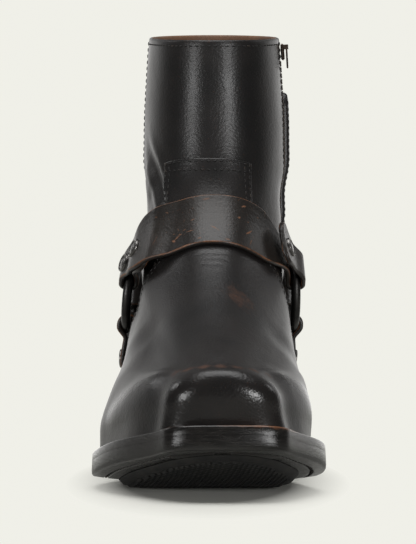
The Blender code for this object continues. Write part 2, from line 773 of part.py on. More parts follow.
def strap_section(tree, ahead, across, shift, ends):
    """Line across the boot that a tight strap follows: sideways and distance ahead of the rings.

    The ends are the sideways places at which the strap reaches the two rings.
    """
    middle = Vector((SHAFT_SIDE - 1.5, SOLE_LENGTH / 2 - RING_ALONG, RING_UP)) + across * shift
    line = [(side, FOLD_REACH) for side in ends]
    for angle in np.linspace(0.0, math.pi, 181):
        hit = tree.ray_cast(middle, Vector((-math.cos(angle), 0, 0)) + ahead * math.sin(angle))[0]
        reach = (hit - middle).dot(ahead)
        if reach > FOLD_REACH:
            line.append((hit.x, reach))
    hull = outer_hull(np.array(line))
    dense = np.linspace(0.0, 1.0, 400)
    return np.stack([np.interp(dense, shares_of(hull), hull[:, k]) for k in range(2)], axis=-1)


def flat_normals(line):
    step = np.gradient(line, axis=0)
    normal = np.stack([-step[:, 1], step[:, 0]], axis=-1)
    return normal / np.linalg.norm(normal, axis=-1, keepdims=True)


def strap_column(line, fold_sides, layout):
    """Middle line of a strap in one flat section, from its first end to its other end.

    The layout names the clearance, how far each end turns back, and whether each end folds outward
    over the ring or inward under it.
    """
    length = line_length(line)
    share = shares_of(line)
    normal = flat_normals(line)
    single = layout["clear"] + STRAP_THICKNESS / 2
    turn = FOLD_RADIUS + STRAP_THICKNESS / 2
    apart = STRAP_THICKNESS + STRAP_LAYER_GAP

    def at(reach):
        place = np.array([np.interp(reach / length, share, line[:, k]) for k in range(2)])
        out = np.array([np.interp(reach / length, share, normal[:, k]) for k in range(2)])
        return place, out / np.linalg.norm(out)

    low = []
    for reach, fold_side in ((0.0, fold_sides[0]), (length, fold_sides[1])):
        place, out = at(reach)
        low.append((fold_side - place[0]) / out[0] - turn)

    def inner_layer(reach):
        near = 1 - smooth_step(reach, 0.0, 14.0)
        far = 1 - smooth_step(length - reach, 0.0, 14.0)
        return single + (low[0] - single) * near + (low[1] - single) * far

    def outer_layer(reach, from_end):
        opening = (2 * turn - apart) * (1 - smooth_step(from_end, 3.5, 14.0))
        return inner_layer(reach) + apart + opening

    def fold(end):
        reach = 0.0 if end == 0 else length
        place, out = at(reach)
        away = np.array([out[1], -out[0]]) * (-1 if end == 0 else 1)
        centre = place + out * (low[end] + turn)
        angles = np.linspace(0.0, math.pi, FOLD_ROWS + 2)[1:-1]
        return [centre + turn * (-out * math.cos(a) + away * math.sin(a)) for a in angles]

    def run(reaches, depth):
        return [at(reach)[0] + at(reach)[1] * depth(reach) for reach in reaches]

    first_back, last_back = layout["turn_back"]
    ends = np.linspace(0.0, 1.0, TAIL_ROWS)
    middle = np.linspace(0.0, length, layout["rows"])
    rows = []
    if layout["main_outside"][0]:
        rows += run(first_back * ends[::-1], inner_layer)
        rows += fold(0)
        lift = layout["step"]
        rows += run(middle, lambda r: inner_layer(r) + (outer_layer(r, r) - inner_layer(r))
                    * (1 - smooth_step(r, first_back + 1.0, first_back + lift)))
    else:
        rows += run(first_back * ends[::-1], lambda r: outer_layer(r, r) + layout["splay"] * (r / first_back)**2)
        rows += fold(0)[::-1]
        rows += run(middle, inner_layer)
    rows += fold(1)
    rows += run(length - last_back * ends,
                lambda r: outer_layer(r, length - r) + layout["splay"] * ((length - r) / last_back)**2)
    return np.array(rows)


def strap_widths(layout, length):
    """Share of the full width at each row: narrower at the rings, rounded at the loose ends."""
    narrow = LOOP_WIDTH / layout["width"]
    ends = np.linspace(0.0, 1.0, TAIL_ROWS)
    middle = np.linspace(0.0, length, layout["rows"])

    def taper(reach):
        near = np.minimum(reach, length - reach)
        return narrow + (1 - narrow) * smooth_step(near, 8.0, 36.0)

    def tail(back):
        reach = back * ends
        tip = np.clip((reach - back + 7.0) / 7.0, 0.0, 0.97)
        return taper(reach) * np.sqrt(1 - tip**2)

    fold = np.full(FOLD_ROWS, narrow)
    first_back, last_back = layout["turn_back"]
    return np.concatenate([tail(first_back)[::-1], fold, taper(middle), fold, tail(last_back)])


def make_strap(name, tree, planes, layout):
    """Flat strap from ring to ring, folded round both of them; also returns its middle points."""
    angle = math.radians(layout["angle"])
    ahead = Vector((0, -math.cos(angle), math.sin(angle)))
    across = ahead.cross(Vector((1, 0, 0)))
    ring = Vector((0, SOLE_LENGTH / 2 - RING_ALONG, RING_UP))
    inward = FOLD_RADIUS + STRAP_THICKNESS + layout["clear"]
    spots = np.linspace(-1.0, 1.0, 5)
    columns = []
    for spot in spots:
        shift = spot * layout["width"] / 2
        fold = ring + across * shift + ahead * FOLD_REACH
        where = np.array([1.0, SOLE_LENGTH / 2 - fold.y, fold.z])
        sides = [planes[-1] @ where, planes[1] @ where]
        ends = [sides[0] + inward, sides[1] - inward]
        line = strap_section(tree, ahead, across, shift, ends)
        if spot == 0.0:
            length = line_length(line)
        columns.append(strap_column(line, sides, layout))
    columns = np.array(columns)
    grid = []
    for row, share in enumerate(strap_widths(layout, length)):
        line = []
        for wanted in (-share, 0.0, share):
            side = np.interp(wanted, spots, columns[:, row, 0])
            reach = np.interp(wanted, spots, columns[:, row, 1])
            line.append(ring + Vector((side, 0, 0)) + ahead * reach + across * wanted * layout["width"] / 2)
        grid.append(line)
    grid = np.array(grid)
    return black_leather(ribbon(name, grid)), grid


def ribbon(name, grid):
    """Solid of the strap's thickness round a grid of middle points."""
    step = np.gradient(grid, axis=0)
    wide = np.gradient(grid, axis=1)
    normal = np.cross(step, wide)
    normal /= np.linalg.norm(normal, axis=-1, keepdims=True)
    return closed_mesh(name, grid + normal * STRAP_THICKNESS / 2, grid - normal * STRAP_THICKNESS / 2)


def make_stud(name, place, out):
    """Domed cap with a flat back."""
    profile = [
        (STUD_RADIUS, 0.0), (STUD_RADIUS, 0.9), (0.66 * STUD_RADIUS, 2.2), (0.0, STUD_HEIGHT),
    ]
    turned = Vector((0, 0, 1)).rotation_difference(Vector(out)).to_matrix()
    sides = 12
    mesh = bmesh.new()

    def spot(radius, up, turn):
        local = Vector((radius * math.cos(turn), radius * math.sin(turn), up))
        return mesh.verts.new((Vector(place) + turned @ local) * MM)

    rows = []
    for radius, up in profile[:-1]:
        rows.append([spot(radius, up, 2 * math.pi * k / sides) for k in range(sides)])
    top = spot(0.0, STUD_HEIGHT, 0.0)
    mesh.faces.new(rows[0][::-1])
    for low, high in zip(rows, rows[1:]):
        for k in range(sides):
            after = (k + 1) % sides
            mesh.faces.new([low[k], low[after], high[after], high[k]])
    for k in range(sides):
        mesh.faces.new([rows[-1][k], rows[-1][(k + 1) % sides], top])
    bmesh.ops.triangulate(mesh, faces=mesh.faces[:])
    bmesh.ops.recalc_face_normals(mesh, faces=mesh.faces)
    return dark_metal(add_object(name, mesh))


def make_down_strap(name, tree, plane, hand):
    """Strap from the welt up to a ring, folded over it and turned down again outside."""
    angle = math.radians(DOWN_ANGLE)
    down = np.array([math.cos(angle), math.sin(angle)])
    beside = np.array([-down[1], down[0]])
    turn = FOLD_RADIUS + STRAP_THICKNESS / 2
    apart = STRAP_THICKNESS + STRAP_LAYER_GAP
    fold_at = np.array([RING_ALONG, RING_UP]) + down * FOLD_REACH
    low_end = 30.0
    tab = 26.0
    reaches = np.linspace(low_end, 0.0, 8)
    grid = []

    def centre_side(along, up):
        return plane @ np.array([1.0, along, up])

    def inner_side(along, up, reach):
        near = 1 - smooth_step(reach, 2.0, 16.0)
        lying = side_at(tree, along, up, hand) + hand * (HEEL_STRAP_CLEAR + STRAP_THICKNESS / 2)
        return lying + (centre_side(along, up) - hand * turn - lying) * near

    def row(reach, depth, width):
        line = []
        for spot in (-1, 0, 1):
            along, up = fold_at + down * reach + beside * spot * width / 2
            line.append(points(inner_side(along, up, max(reach, 0.0)) + hand * depth, along, up))
        return line

    for reach in reaches:
        width = LOOP_WIDTH + (DOWN_WIDTH - LOOP_WIDTH) * reach / low_end
        grid.append(row(reach, 0.0, width))
    for a in np.linspace(0.0, math.pi, FOLD_ROWS + 2)[1:-1]:
        grid.append(row(-turn * math.sin(a), turn * (1 - math.cos(a)), LOOP_WIDTH))
    for reach in np.linspace(0.0, tab, 7):
        opening = (2 * turn - apart) * (1 - smooth_step(reach, 3.5, 14.0))
        tip = np.clip((reach - tab + 6.0) / 6.0, 0.0, 0.97)
        grid.append(row(reach, apart + opening + 1.5 * (reach / tab), LOOP_WIDTH * math.sqrt(1 - tip**2)))
    grid = np.array(grid)
    lowest = grid[0]
    along = SOLE_LENGTH / 2 - lowest[:, 1]
    lowest[:, 2] = np.maximum(lowest[:, 2], sole_up(lowest[:, 0], along) + SOLE_STACK + 1.2)
    return black_leather(ribbon(name, grid)), grid


def stud_on(name, grid, row):
    """Stud on the outside face of a strap at a row of its middle points, which may lie between two rows."""
    step = np.gradient(grid, axis=0)
    wide = np.gradient(grid, axis=1)
    facing = np.cross(step, wide)[:, 1]
    rows = np.arange(len(grid))
    place = np.array([np.interp(row, rows, grid[:, 1, k]) for k in range(3)])
    out = np.array([np.interp(row, rows, facing[:, k]) for k in range(3)])
    out = out / np.linalg.norm(out)
    if out[0] * place[0] < 0:
        out = -out
    return make_stud(name, place + out * (STRAP_THICKNESS / 2 + GAP + 0.1), out)


def make_harness():
    tree = face_tree()
    planes = {hand: ring_plane(tree, hand) for hand in (-1, 1)}
    make_ring("ring_outer", planes[-1])
    make_ring("ring_inner", planes[1])
    instep = {
        "angle": INSTEP_ANGLE, "width": INSTEP_WIDTH, "clear": INSTEP_CLEAR, "rows": 28,
        "turn_back": (30.0, 29.0), "main_outside": (True, False), "splay": 5.0, "step": 14.0,
    }
    heel = {
        "angle": HEEL_STRAP_ANGLE, "width": HEEL_STRAP_WIDTH, "clear": HEEL_STRAP_CLEAR, "rows": 28,
        "turn_back": (28.0, 28.0), "main_outside": (False, False), "splay": 0.0, "step": 14.0,
    }
    strap, grid = make_strap("strap_instep", tree, planes, instep)
    stud_on("stud_instep_low", grid, TAIL_ROWS + FOLD_ROWS + 1.7)
    stud_on("stud_instep_high", grid, TAIL_ROWS + FOLD_ROWS + 3.4)
    stud_on("stud_snap", grid, len(grid) - 1 - 2.3)
    strap, grid = make_strap("strap_heel", tree, planes, heel)
    stud_on("stud_heel_outer", grid, 2.1)
    stud_on("stud_heel_inner", grid, len(grid) - 1 - 2.1)
    for side, hand in (("outer", -1), ("inner", 1)):
        strap, grid = make_down_strap("strap_down_" + side, tree, planes[hand], hand)
        stud_on("stud_down_" + side, grid, len(grid) - 1 - 1.8)


def clear_scene():
    for item in list(bpy.data.objects):
        bpy.data.objects.remove(item, do_unlink=True)


def centre_on_floor():
    """Move the finished boot so that the middle of its box stands on the origin."""
    bpy.context.view_layer.update()
    corners = [item.matrix_world @ Vector(corner) for item in bpy.data.objects for corner in item.bound_box]
    middle = [(min(c[k] for c in corners) + max(c[k] for c in corners)) / 2 for k in range(2)]
    lowest = min(c[2] for c in corners)
    for item in bpy.data.objects:
        item.location -= Vector((middle[0], middle[1], lowest))


def build():
    clear_scene()
    make_outsole()
    make_welt()
    make_insole()
    make_tread()
    make_heel()
    make_upper()
    make_vamp()
    make_zip_guard()
    make_zip()
    make_slider()
    make_pull()
    make_harness()
    centre_on_floor()


build()
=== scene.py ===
"""Looks of the right-foot harness boot: worn black leather that rubs through to brown, on a welted sole.

Shapes are worked out in millimetres in the boot's own frame: X is sideways, positive on the inner side
of the foot, Z is the height above the floor, and "along" runs forward from the back of the sole to the
toe. A mesh is made in metres, moved by the small shift that centres the solids on the floor.
"""

import math

import bmesh
import bpy
import numpy as np
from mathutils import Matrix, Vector
from mathutils.bvhtree import BVHTree


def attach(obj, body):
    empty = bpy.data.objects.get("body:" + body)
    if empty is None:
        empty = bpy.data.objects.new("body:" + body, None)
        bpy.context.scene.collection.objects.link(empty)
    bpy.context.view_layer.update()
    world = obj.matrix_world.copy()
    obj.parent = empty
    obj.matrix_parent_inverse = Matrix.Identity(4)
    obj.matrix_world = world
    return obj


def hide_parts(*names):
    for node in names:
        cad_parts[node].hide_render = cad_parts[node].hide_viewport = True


MM = 0.001
SHIFT = np.array([0.154, -0.403, 0.0])
BOOT = "boot"

# Sides of the boot and their signs
HANDS = {"outer": -1, "inner": 1}

# Smallest distance between two layers that lie on each other
LAYER_GAP = 0.05

# Points nearer than this, in metres, are joined where a piece closes on itself
JOIN_DISTANCE = 1e-7

# Sole, as in the solids but for rounder corners at the toe and a welt that reaches farther in there
SOLE_LENGTH = 312.0
GAP = 0.3
OUTSOLE_THICKNESS = 7.2
WELT_THICKNESS = 4.2
WELT_WIDTH = 11.0
TOE_SLIM = 0.22
INSOLE_THICKNESS = 3.6
SOLE_STACK = OUTSOLE_THICKNESS + GAP + WELT_THICKNESS
TREAD_THICKNESS = 3.0
TREAD_INSET = 13.0
TREAD_CHAMFER = 2.5
TREAD_FROM = 150.0
FLAT_HALF = 24.0
CROWN = 2.5
HEEL_ROUND = 34.0
HEEL_SQUARE = 2.1
TOE_ROUND = 11.0
TOE_SQUARE = 3.8
SEAT_GAP = 0.5

# Heel
HEEL_BREAST = 80.0
HEEL_BREAST_SLOPE = 7.0
HEEL_BACK_SLOPE = 4.0
HEEL_TAPER = 2.6
HEEL_INSET = 0.8
HEEL_BREAST_CURVE = 3.5
HEEL_LIFT_COUNT = 4
HEEL_TOP_LIFT = 6.5
HEEL_SEAT = 36.0

# Upper
WALL = 2.2
SHAFT_SIDE = 3.1
VAMP_TO = 0.786
VAMP_THICKNESS = 1.5
VAMP_CLEAR = 0.45
VAMP_EDGE_ROUND = 1.1
ZIP_FROM = 0.44
ZIP_TO = 0.985
TEETH_TO = 0.955
ZIP_ALONG = 92.0
ZIP_SLOT = 8.4
GUARD_START = ZIP_SLOT / 2 + 0.8
GUARD_WIDTH = 22.0
GUARD_CORNER = 5.0
GUARD_EDGE_ROUND = 1.6
GUARD_THICKNESS = 2.4
GUARD_CLEAR = 0.2
GUARD_FROM = 0.46
GUARD_TO = 0.895
TAPE_FACE = -0.7

# Harness
RING_ALONG = 118.0
RING_UP = 93.0
RING_RADIUS = 18.5
WIRE_RADIUS = 2.4
STRAP_THICKNESS = 2.4
STRAP_LAYER_GAP = 0.5
FOLD_RADIUS = 2.65
FOLD_REACH = 15.8
LOOP_WIDTH = 15.0
INSTEP_ANGLE = 35.0
INSTEP_WIDTH = 32.0
INSTEP_CLEAR = 2.5
HEEL_STRAP_ANGLE = 178.0
HEEL_STRAP_WIDTH = 21.0
HEEL_STRAP_CLEAR = 1.1
DOWN_ANGLE = -93.0
DOWN_WIDTH = 19.0
DOWN_BOW = 4.0
DOWN_LENGTH = 30.0
DOWN_TAB = 26.0
RING_CLEAR = {INSTEP_ANGLE: 1.5, HEEL_STRAP_ANGLE: 1.5, DOWN_ANGLE: 3.4}
TIP_ROUND = 7.0
DOWN_TIP_ROUND = 6.0
TIP_CLOSED = 0.97

# Distance from a ring over which a strap comes to lie on the boot
SETTLE = 14.0

# Studs: places as shares of the instep strap's length, and as distances from a loose end
STUD_LOW_SHARE = 1.7 / 27
STUD_HIGH_SHARE = 4.1 / 27
SNAP_FROM_TIP = 9.5
HEEL_STUD_FROM_TIP = 8.4
DOWN_STUD_FROM_TIP = 7.8

# Details of the looks
TONGUE_ARCH = 4.0
LOZENGE_PITCH = 4.6
LOZENGE_HEIGHT = 0.8
STITCH_PITCH = 3.1
STITCH_SIZE = (2.0, 0.75, 0.75)
SOLE_STITCH_PITCH = 4.4
SOLE_STITCH_SIZE = (3.4, 1.0, 0.9)
TOOTH_PITCH = 1.5
TOOTH_SIZE = (0.85, 2.3, 1.3)
SIDE_SEAM_ALONG = 84.0
SIDE_SEAM_HALF = 1.7

# How finely the looks are made
FACE_ROWS = 301
FACE_TURNS = 1201
UPPER_ROWS = 150
UPPER_COLUMNS = 150
SIDE_STEPS = 600
VAMP_ROWS = 150
VAMP_COLUMNS = 230
ZIP_COLUMN = 58
SOLE_STATIONS = 200
FOLD_ROWS = 14
TAIL_ROWS = 26
DOWN_COLUMNS = 31

# Distances from a cut edge at which a layer gets extra columns, so that the edge is round
EDGE_STEPS = np.array([0.0, 0.12, 0.35, 0.7, 1.2, 1.9, 3.0])

# Camera, at the height and distance that fit the photo
CAMERA_ALONG = 220.0
CAMERA_DISTANCE = 1800.0
CAMERA_UP = 130.0
CAMERA_TILT = 0.818
CAMERA_LENS = 249.0

# Colour behind the boot
BACKDROP = (0.871, 0.868, 0.808)

# Bottom of the outsole along the middle: along, up
SOLE_PROFILE = (
    (0.0, 40.0),
    (40.0, 39.0),
    (78.0, 36.3),
    (100.0, 30.8),
    (125.0, 20.6),
    (150.0, 10.4),
    (168.0, 5.2),
    (181.0, 3.3),
    (194.0, 3.2),
    (207.0, 3.3),
    (222.0, 5.0),
    (240.0, 8.5),
    (262.0, 13.2),
    (285.0, 18.6),
    (312.0, 24.6),
)

# Edge of the sole in plan: along, half width, middle line
SOLE_PLAN = (
    (0.0, 32.6, 2.0),
    (20.0, 34.6, 2.0),
    (45.0, 35.2, 1.8),
    (75.0, 34.9, 1.2),
    (105.0, 35.2, 0.2),
    (130.0, 37.0, -1.0),
    (155.0, 42.4, -2.6),
    (180.0, 49.3, -3.8),
    (205.0, 53.4, -2.7),
    (225.0, 54.6, 0.2),
    (245.0, 52.4, 3.3),
    (265.0, 46.0, 5.5),
    (285.0, 37.2, 7.2),
    (300.0, 30.4, 8.2),
    (312.0, 25.4, 8.6),
)

# Sections of the upper from the sole to the collar
RING_COLUMNS = (
    "back_along", "back_up", "front_along", "front_up", "follow", "heel", "waist", "ball", "flare", "toe",
    "nose", "tip", "back_round", "front_round", "front_square", "outer_slim",
)
RINGS = (
    (6.5, 51.0, 302.8, 36.5, 1.00, 30.5, 31.2, 47.0, 44.2, 36.0, 28.4, 25.6, 0.12, 0.048, 3.3, 0.0),
    (3.8, 58.0, 304.4, 44.6, 0.92, 31.4, 32.4, 47.8, 44.2, 34.6, 26.6, 23.8, 0.12, 0.050, 3.2, 0.4),
    (2.6, 68.0, 304.3, 56.2, 0.80, 31.6, 33.0, 46.5, 42.8, 31.4, 22.8, 19.0, 0.12, 0.056, 3.0, 1.6),
    (2.3, 76.0, 302.9, 59.2, 0.67, 31.2, 33.1, 45.2, 40.8, 28.6, 19.6, 15.2, 0.13, 0.066, 2.7, 2.6),
    (2.3, 84.0, 297.6, 61.4, 0.56, 30.7, 33.1, 43.0, 38.0, 25.6, 17.4, 14.0, 0.14, 0.090, 2.6, 3.4),
    (3.3, 94.0, 284.0, 67.0, 0.45, 29.6, 33.0, 39.8, 33.8, 22.6, 17.4, 14.6, 0.16, 0.140, 2.4, 3.4),
    (5.0, 105.0, 258.0, 76.6, 0.30, 28.4, 32.6, 35.4, 29.2, 22.2, 18.8, 16.5, 0.20, 0.210, 2.3, 3.0),
    (8.0, 119.0, 222.0, 92.0, 0.16, 28.6, 32.2, 33.0, 28.0, 22.4, 19.4, 17.5, 0.27, 0.300, 2.3, 0.3),
    (11.0, 134.0, 188.0, 110.0, 0.06, 30.0, 32.6, 32.2, 28.6, 24.2, 21.8, 20.0, 0.35, 0.380, 2.3, 0.0),
    (13.5, 150.0, 163.5, 129.5, 0.00, 32.4, 33.8, 33.2, 31.2, 28.8, 27.5, 26.6, 0.43, 0.450, 2.3, 0.0),
    (14.5, 167.0, 151.5, 150.0, 0.00, 35.4, 35.4, 35.4, 35.0, 34.5, 34.2, 34.0, 0.50, 0.500, 2.3, 0.0),
    (14.5, 186.0, 147.8, 174.0, 0.00, 35.7, 35.7, 35.7, 35.6, 35.4, 35.4, 35.4, 0.50, 0.500, 2.3, 0.0),
    (14.0, 206.5, 147.3, 198.0, 0.00, 34.6, 34.6, 34.6, 34.5, 34.4, 34.4, 34.4, 0.50, 0.500, 2.3, 0.0),
    (13.5, 227.5, 148.5, 218.5, 0.00, 33.4, 33.4, 33.4, 33.4, 33.4, 33.4, 33.4, 0.50, 0.500, 2.3, 0.0),
)
WIDTH_STATIONS = (0.0, 0.12, 0.40, 0.70, 0.80, 0.90, 0.955, 1.0)

# Back edge of the vamp: height share of the upper, along on the outer side, along on the inner side
VAMP_EDGE = (
    (0.00, 131.0, 131.0),
    (0.10, 139.0, 138.0),
    (0.20, 146.5, 145.0),
    (0.30, 153.0, 151.0),
    (0.40, 157.5, 155.5),
    (0.48, 159.0, 157.0),
    (0.54, 157.0, 157.5),
    (0.60, 150.0, 156.5),
    (0.656, 142.6, 152.0),
    (0.70, 139.0, 147.8),
    (0.743, 137.0, 144.6),
    (0.786, 135.4, 142.5),
)

# Rubbed edges between the top of the toe and its side walls: side, along, up
OUTER_SHOULDER = ((-16.0, 283.0, 56.0), (-23.2, 272.0, 53.0), (-32.0, 255.0, 48.0), (-43.0, 230.0, 36.0))
INNER_SHOULDER = ((29.0, 283.0, 56.0), (34.5, 265.0, 50.0), (44.0, 235.0, 38.0))

# Creases of the worn leather: places on the way, as side, along, up, then width and depth.
# A ridge has a negative depth.
TONGUE_FOLD = ((-31.0, 106.0, 170.0), (-27.5, 124.0, 155.0), (-24.5, 136.0, 141.0), (-23.0, 142.0, 133.0))
CREASES = (
    (TONGUE_FOLD, 4.4, 1.7),
    (((-34.0, 104.0, 154.0), (-30.0, 120.0, 141.0)), 8.0, -1.0),
    (((-36.0, 62.0, 152.0), (-34.0, 104.0, 138.0)), 8.0, 1.0),
    (((38.0, 60.0, 150.0), (36.0, 118.0, 138.0)), 8.0, 0.9),
    (((-14.0, 20.0, 160.0), (18.0, 20.0, 157.0)), 7.0, 1.3),
    (((-18.0, 12.0, 138.0), (20.0, 12.0, 136.0)), 8.0, 1.1),
    (((-46.0, 196.0, 52.0), (-24.0, 214.0, 82.0)), 9.0, 0.3),
    (((48.0, 204.0, 50.0), (26.0, 220.0, 80.0)), 9.0, 0.3),
    (OUTER_SHOULDER, 7.5, -1.0),
    (INNER_SHOULDER, 7.5, -1.0),
    (((-33.0, 92.0, 105.0), (-33.0, 112.0, 104.5), (-33.0, 132.0, 104.0)), 8.0, -1.6),
    (((39.0, 92.0, 105.0), (39.0, 112.0, 104.5), (39.0, 132.0, 104.0)), 8.0, -1.6),
    (((-8.0, 183.5, 112.0), (4.0, 185.0, 112.0), (15.0, 183.5, 112.0)), 1.4, 0.14),
    (((-5.0, 188.0, 110.0), (6.0, 188.5, 110.0), (13.0, 188.0, 110.0)), 1.4, 0.14),
    (((-7.0, 192.0, 108.0), (3.0, 192.5, 108.0), (9.0, 192.0, 108.0)), 1.4, 0.12),
)

# How far the collar's rows lie lower, so that its rolled edge ends at the collar's height
COLLAR_ROLL = 0.9

# Rolled edge of the collar: inset, lift
COLLAR_EDGE = ((0.3, 0.6), (0.85, 0.9))

# Places where the black has rubbed off: side, along, up, radius, strength
RUBS = (
    (-20.0, 284.0, 38.0, 6.0, 0.7),
    (-14.5, 286.0, 58.0, 4.5, 0.6),
    (-9.0, 291.0, 60.5, 4.5, 0.65),
    (-2.0, 295.0, 62.0, 4.5, 0.7),
    (6.0, 296.0, 62.5, 4.5, 0.7),
    (14.0, 295.0, 62.0, 4.5, 0.65),
    (21.5, 291.0, 60.5, 4.5, 0.6),
    (28.0, 285.0, 57.5, 4.5, 0.5),
    (18.0, 214.0, 96.0, 15.0, 0.58),
    (-22.0, 240.0, 72.0, 13.0, 0.2),
    (-21.0, 148.0, 163.0, 4.0, 0.55),
    (23.0, 148.0, 160.0, 4.0, 0.5),
    (0.0, 149.0, 218.0, 4.0, 0.4),
    (-28.0, 132.0, 217.0, 5.0, 0.35),
)

# Scratches on the harness, by node: distance along and across from the strap's middle, angle, length,
# width, strength
STRAP_STROKES = {
    "strap_instep": (
        (-29.0, -5.5, 65.0, 9.0, 0.35, 0.75),
        (-18.5, -9.0, -35.0, 4.0, 0.8, 0.8),
        (-16.5, -7.5, 35.0, 4.5, 0.6, 0.9),
        (-15.0, -6.0, -20.0, 4.0, 0.5, 0.8),
        (-16.0, -2.5, -60.0, 4.0, 0.35, 0.8),
        (-18.5, -4.5, -20.0, 3.5, 0.35, 0.7),
        (-9.0, -6.0, -3.0, 6.0, 0.35, 0.9),
        (-12.5, -4.0, 15.0, 3.5, 0.4, 0.8),
        (-8.5, 1.2, 10.0, 3.5, 0.5, 0.8),
        (-13.0, 1.8, 70.0, 3.0, 0.35, 0.6),
        (2.2, -5.6, -38.0, 5.0, 0.45, 0.9),
        (4.0, -7.2, -40.0, 3.0, 0.35, 0.7),
        (-4.0, -12.6, 5.0, 2.4, 0.6, 0.8),
        (-4.0, -9.4, 0.0, 2.0, 0.5, 0.6),
        (8.5, -13.6, 0.0, 4.0, 0.7, 0.7),
        (20.0, -4.0, 48.0, 7.5, 0.45, 1.0),
        (21.0, -10.0, 72.0, 5.5, 0.35, 0.8),
        (22.5, -6.0, 75.0, 3.0, 0.35, 0.7),
        (14.5, 3.2, 40.0, 2.6, 0.7, 0.9),
        (19.5, 2.4, 20.0, 1.8, 0.6, 0.7),
        (17.0, 11.0, 28.0, 4.5, 0.65, 0.9),
        (-22.5, 10.2, -30.0, 4.0, 0.9, 0.6),
        (-28.5, 9.5, -20.0, 3.0, 0.7, 0.6),
        (-2.0, 13.2, 5.0, 7.0, 0.9, 0.6),
        (-24.0, 3.0, 50.0, 2.5, 0.4, 0.5),
        (1.0, 1.0, 85.0, 9.0, 0.2, 0.35),
        (9.0, 6.0, -10.0, 2.0, 0.4, 0.5),
        (26.0, 8.5, 20.0, 3.0, 0.6, 0.6),
    ),
}


def spline(table):
    """Return a function that runs smoothly through the rows of a table, keyed by its first column."""
    rows = np.asarray(table, float)
    knots = rows[:, 0]
    values = rows[:, 1:]
    steps = np.diff(knots)
    slopes = np.diff(values, axis=0) / steps[:, None]
    system = np.eye(len(knots))
    turns = np.zeros(values.shape)
    for i in range(1, len(knots) - 1):
        system[i, i - 1:i + 2] = steps[i - 1], 2 * (steps[i - 1] + steps[i]), steps[i]
        turns[i] = 6 * (slopes[i] - slopes[i - 1])
    bends = np.linalg.solve(system, turns)

    def at(key):
        key = np.clip(np.asarray(key, float), knots[0], knots[-1])
        i = np.clip(np.searchsorted(knots, key) - 1, 0, len(knots) - 2)
        step = steps[i][..., None]
        left = ((knots[i + 1] - key) / steps[i])[..., None]
        right = 1 - left
        line = left * values[i] + right * values[i + 1]
        curve = (left**3 - left) * bends[i] + (right**3 - right) * bends[i + 1]
        return line + curve * step**2 / 6

    return at


def smooth_step(value, low, high):
    """Rise from 0 at low to 1 at high."""
    t = np.clip((np.asarray(value, float) - low) / (high - low), 0.0, 1.0)
    return t * t * (3 - 2 * t)


def unit(vectors):
    return vectors / np.maximum(np.linalg.norm(vectors, axis=-1, keepdims=True), 1e-9)


def reaches_of(line):
    """Distance along a line at each of its points."""
    return np.concatenate([[0.0], np.cumsum(np.linalg.norm(np.diff(line, axis=0), axis=1))])


def shares_of(line):
    """Share of a line's length at each of its points."""
    reach = reaches_of(line)
    return reach / reach[-1]


def line_length(line):
    return float(np.sum(np.linalg.norm(np.diff(line, axis=0), axis=1)))


def between_points(where, known, line):
    """Points on a line at any places, from its own points at known places."""
    return np.stack([np.interp(where, known, column) for column in np.asarray(line).T], axis=-1)


def square(i, j, columns):
    """Corner numbers of one square in a grid that closes on itself sideways."""
    after = (j + 1) % columns
    return i * columns + j, i * columns + after, (i + 1) * columns + after, (i + 1) * columns + j


def squares(rows, columns):
    return [square(i, j, columns) for i in range(rows - 1) for j in range(columns)]


sole_profile = spline(SOLE_PROFILE)
sole_plan = spline(SOLE_PLAN)


def points(side, along, up):
    """Join sideways, along and height values into points."""
    side, along, up = np.broadcast_arrays(side, along, up)
    return np.stack([side, SOLE_LENGTH / 2 - along, up], axis=-1).astype(float)


def along_of(place):
    return SOLE_LENGTH / 2 - place[..., 1]


def sole_up(side, along):
    """Height of the outsole's bottom face, with its crown across the forefoot."""
    plan = sole_plan(along)
    flat = TREAD_THICKNESS + GAP
    middle = np.maximum(sole_profile(along)[..., 0], flat)
    reach = np.maximum(plan[..., 0] - FLAT_HALF, 12.0)
    lift = np.clip((np.abs(side - plan[..., 1]) - FLAT_HALF) / reach, 0.0, 1.2)
    fade = smooth_step(along, 135.0, 185.0) * (1 - smooth_step(along, 250.0, 300.0))
    return middle + CROWN * lift**2 * fade


def sole_half(along, inset, closed=0.999):
    """Half width of the sole's outline, moved in by an inset, with its round heel and square toe."""
    back = np.clip((HEEL_ROUND - along) / (HEEL_ROUND - inset), 0.0, closed)
    toe = TOE_ROUND + 0.8 * inset
    toe_square = np.maximum(TOE_SQUARE - 0.3 * inset, 2.2)
    front = np.clip((along - (SOLE_LENGTH - inset - toe)) / toe, 0.0, closed)
    heel_end = (1 - back**HEEL_SQUARE)**(1 / HEEL_SQUARE)
    toe_end = (1 - front**toe_square)**(1 / toe_square)
    return (sole_plan(along)[..., 0] - inset) * (heel_end * toe_end)


def sole_stations(start, stop, count):
    """Places along the sole, closer together towards both ends."""
    turn = np.linspace(0.0, math.pi, count)
    return start + (stop - start) * (0.2 * np.linspace(0, 1, count) + 0.8 * (1 - np.cos(turn)) / 2)


def sole_sheet(inset, lift, stations, across):
    """Grid of points over the sole's outline at a height above the outsole's bottom face."""
    along = stations[:, None] + 0 * across[None, :]
    middle = sole_plan(along)[..., 1]
    side = middle + across[None, :] * sole_half(along, inset)
    return points(side, along, sole_up(side, along) + lift)


def sole_loop(inset, lift, count=SOLE_STATIONS):
    """Closed loop of points along the sole's outline."""
    stations = sole_stations(inset, SOLE_LENGTH - inset, count)
    left = sole_sheet(inset, lift, stations, np.array([-1.0]))[:, 0]
    right = sole_sheet(inset, lift, stations, np.array([1.0]))[:, 0]
    return np.concatenate([left, right[::-1]])


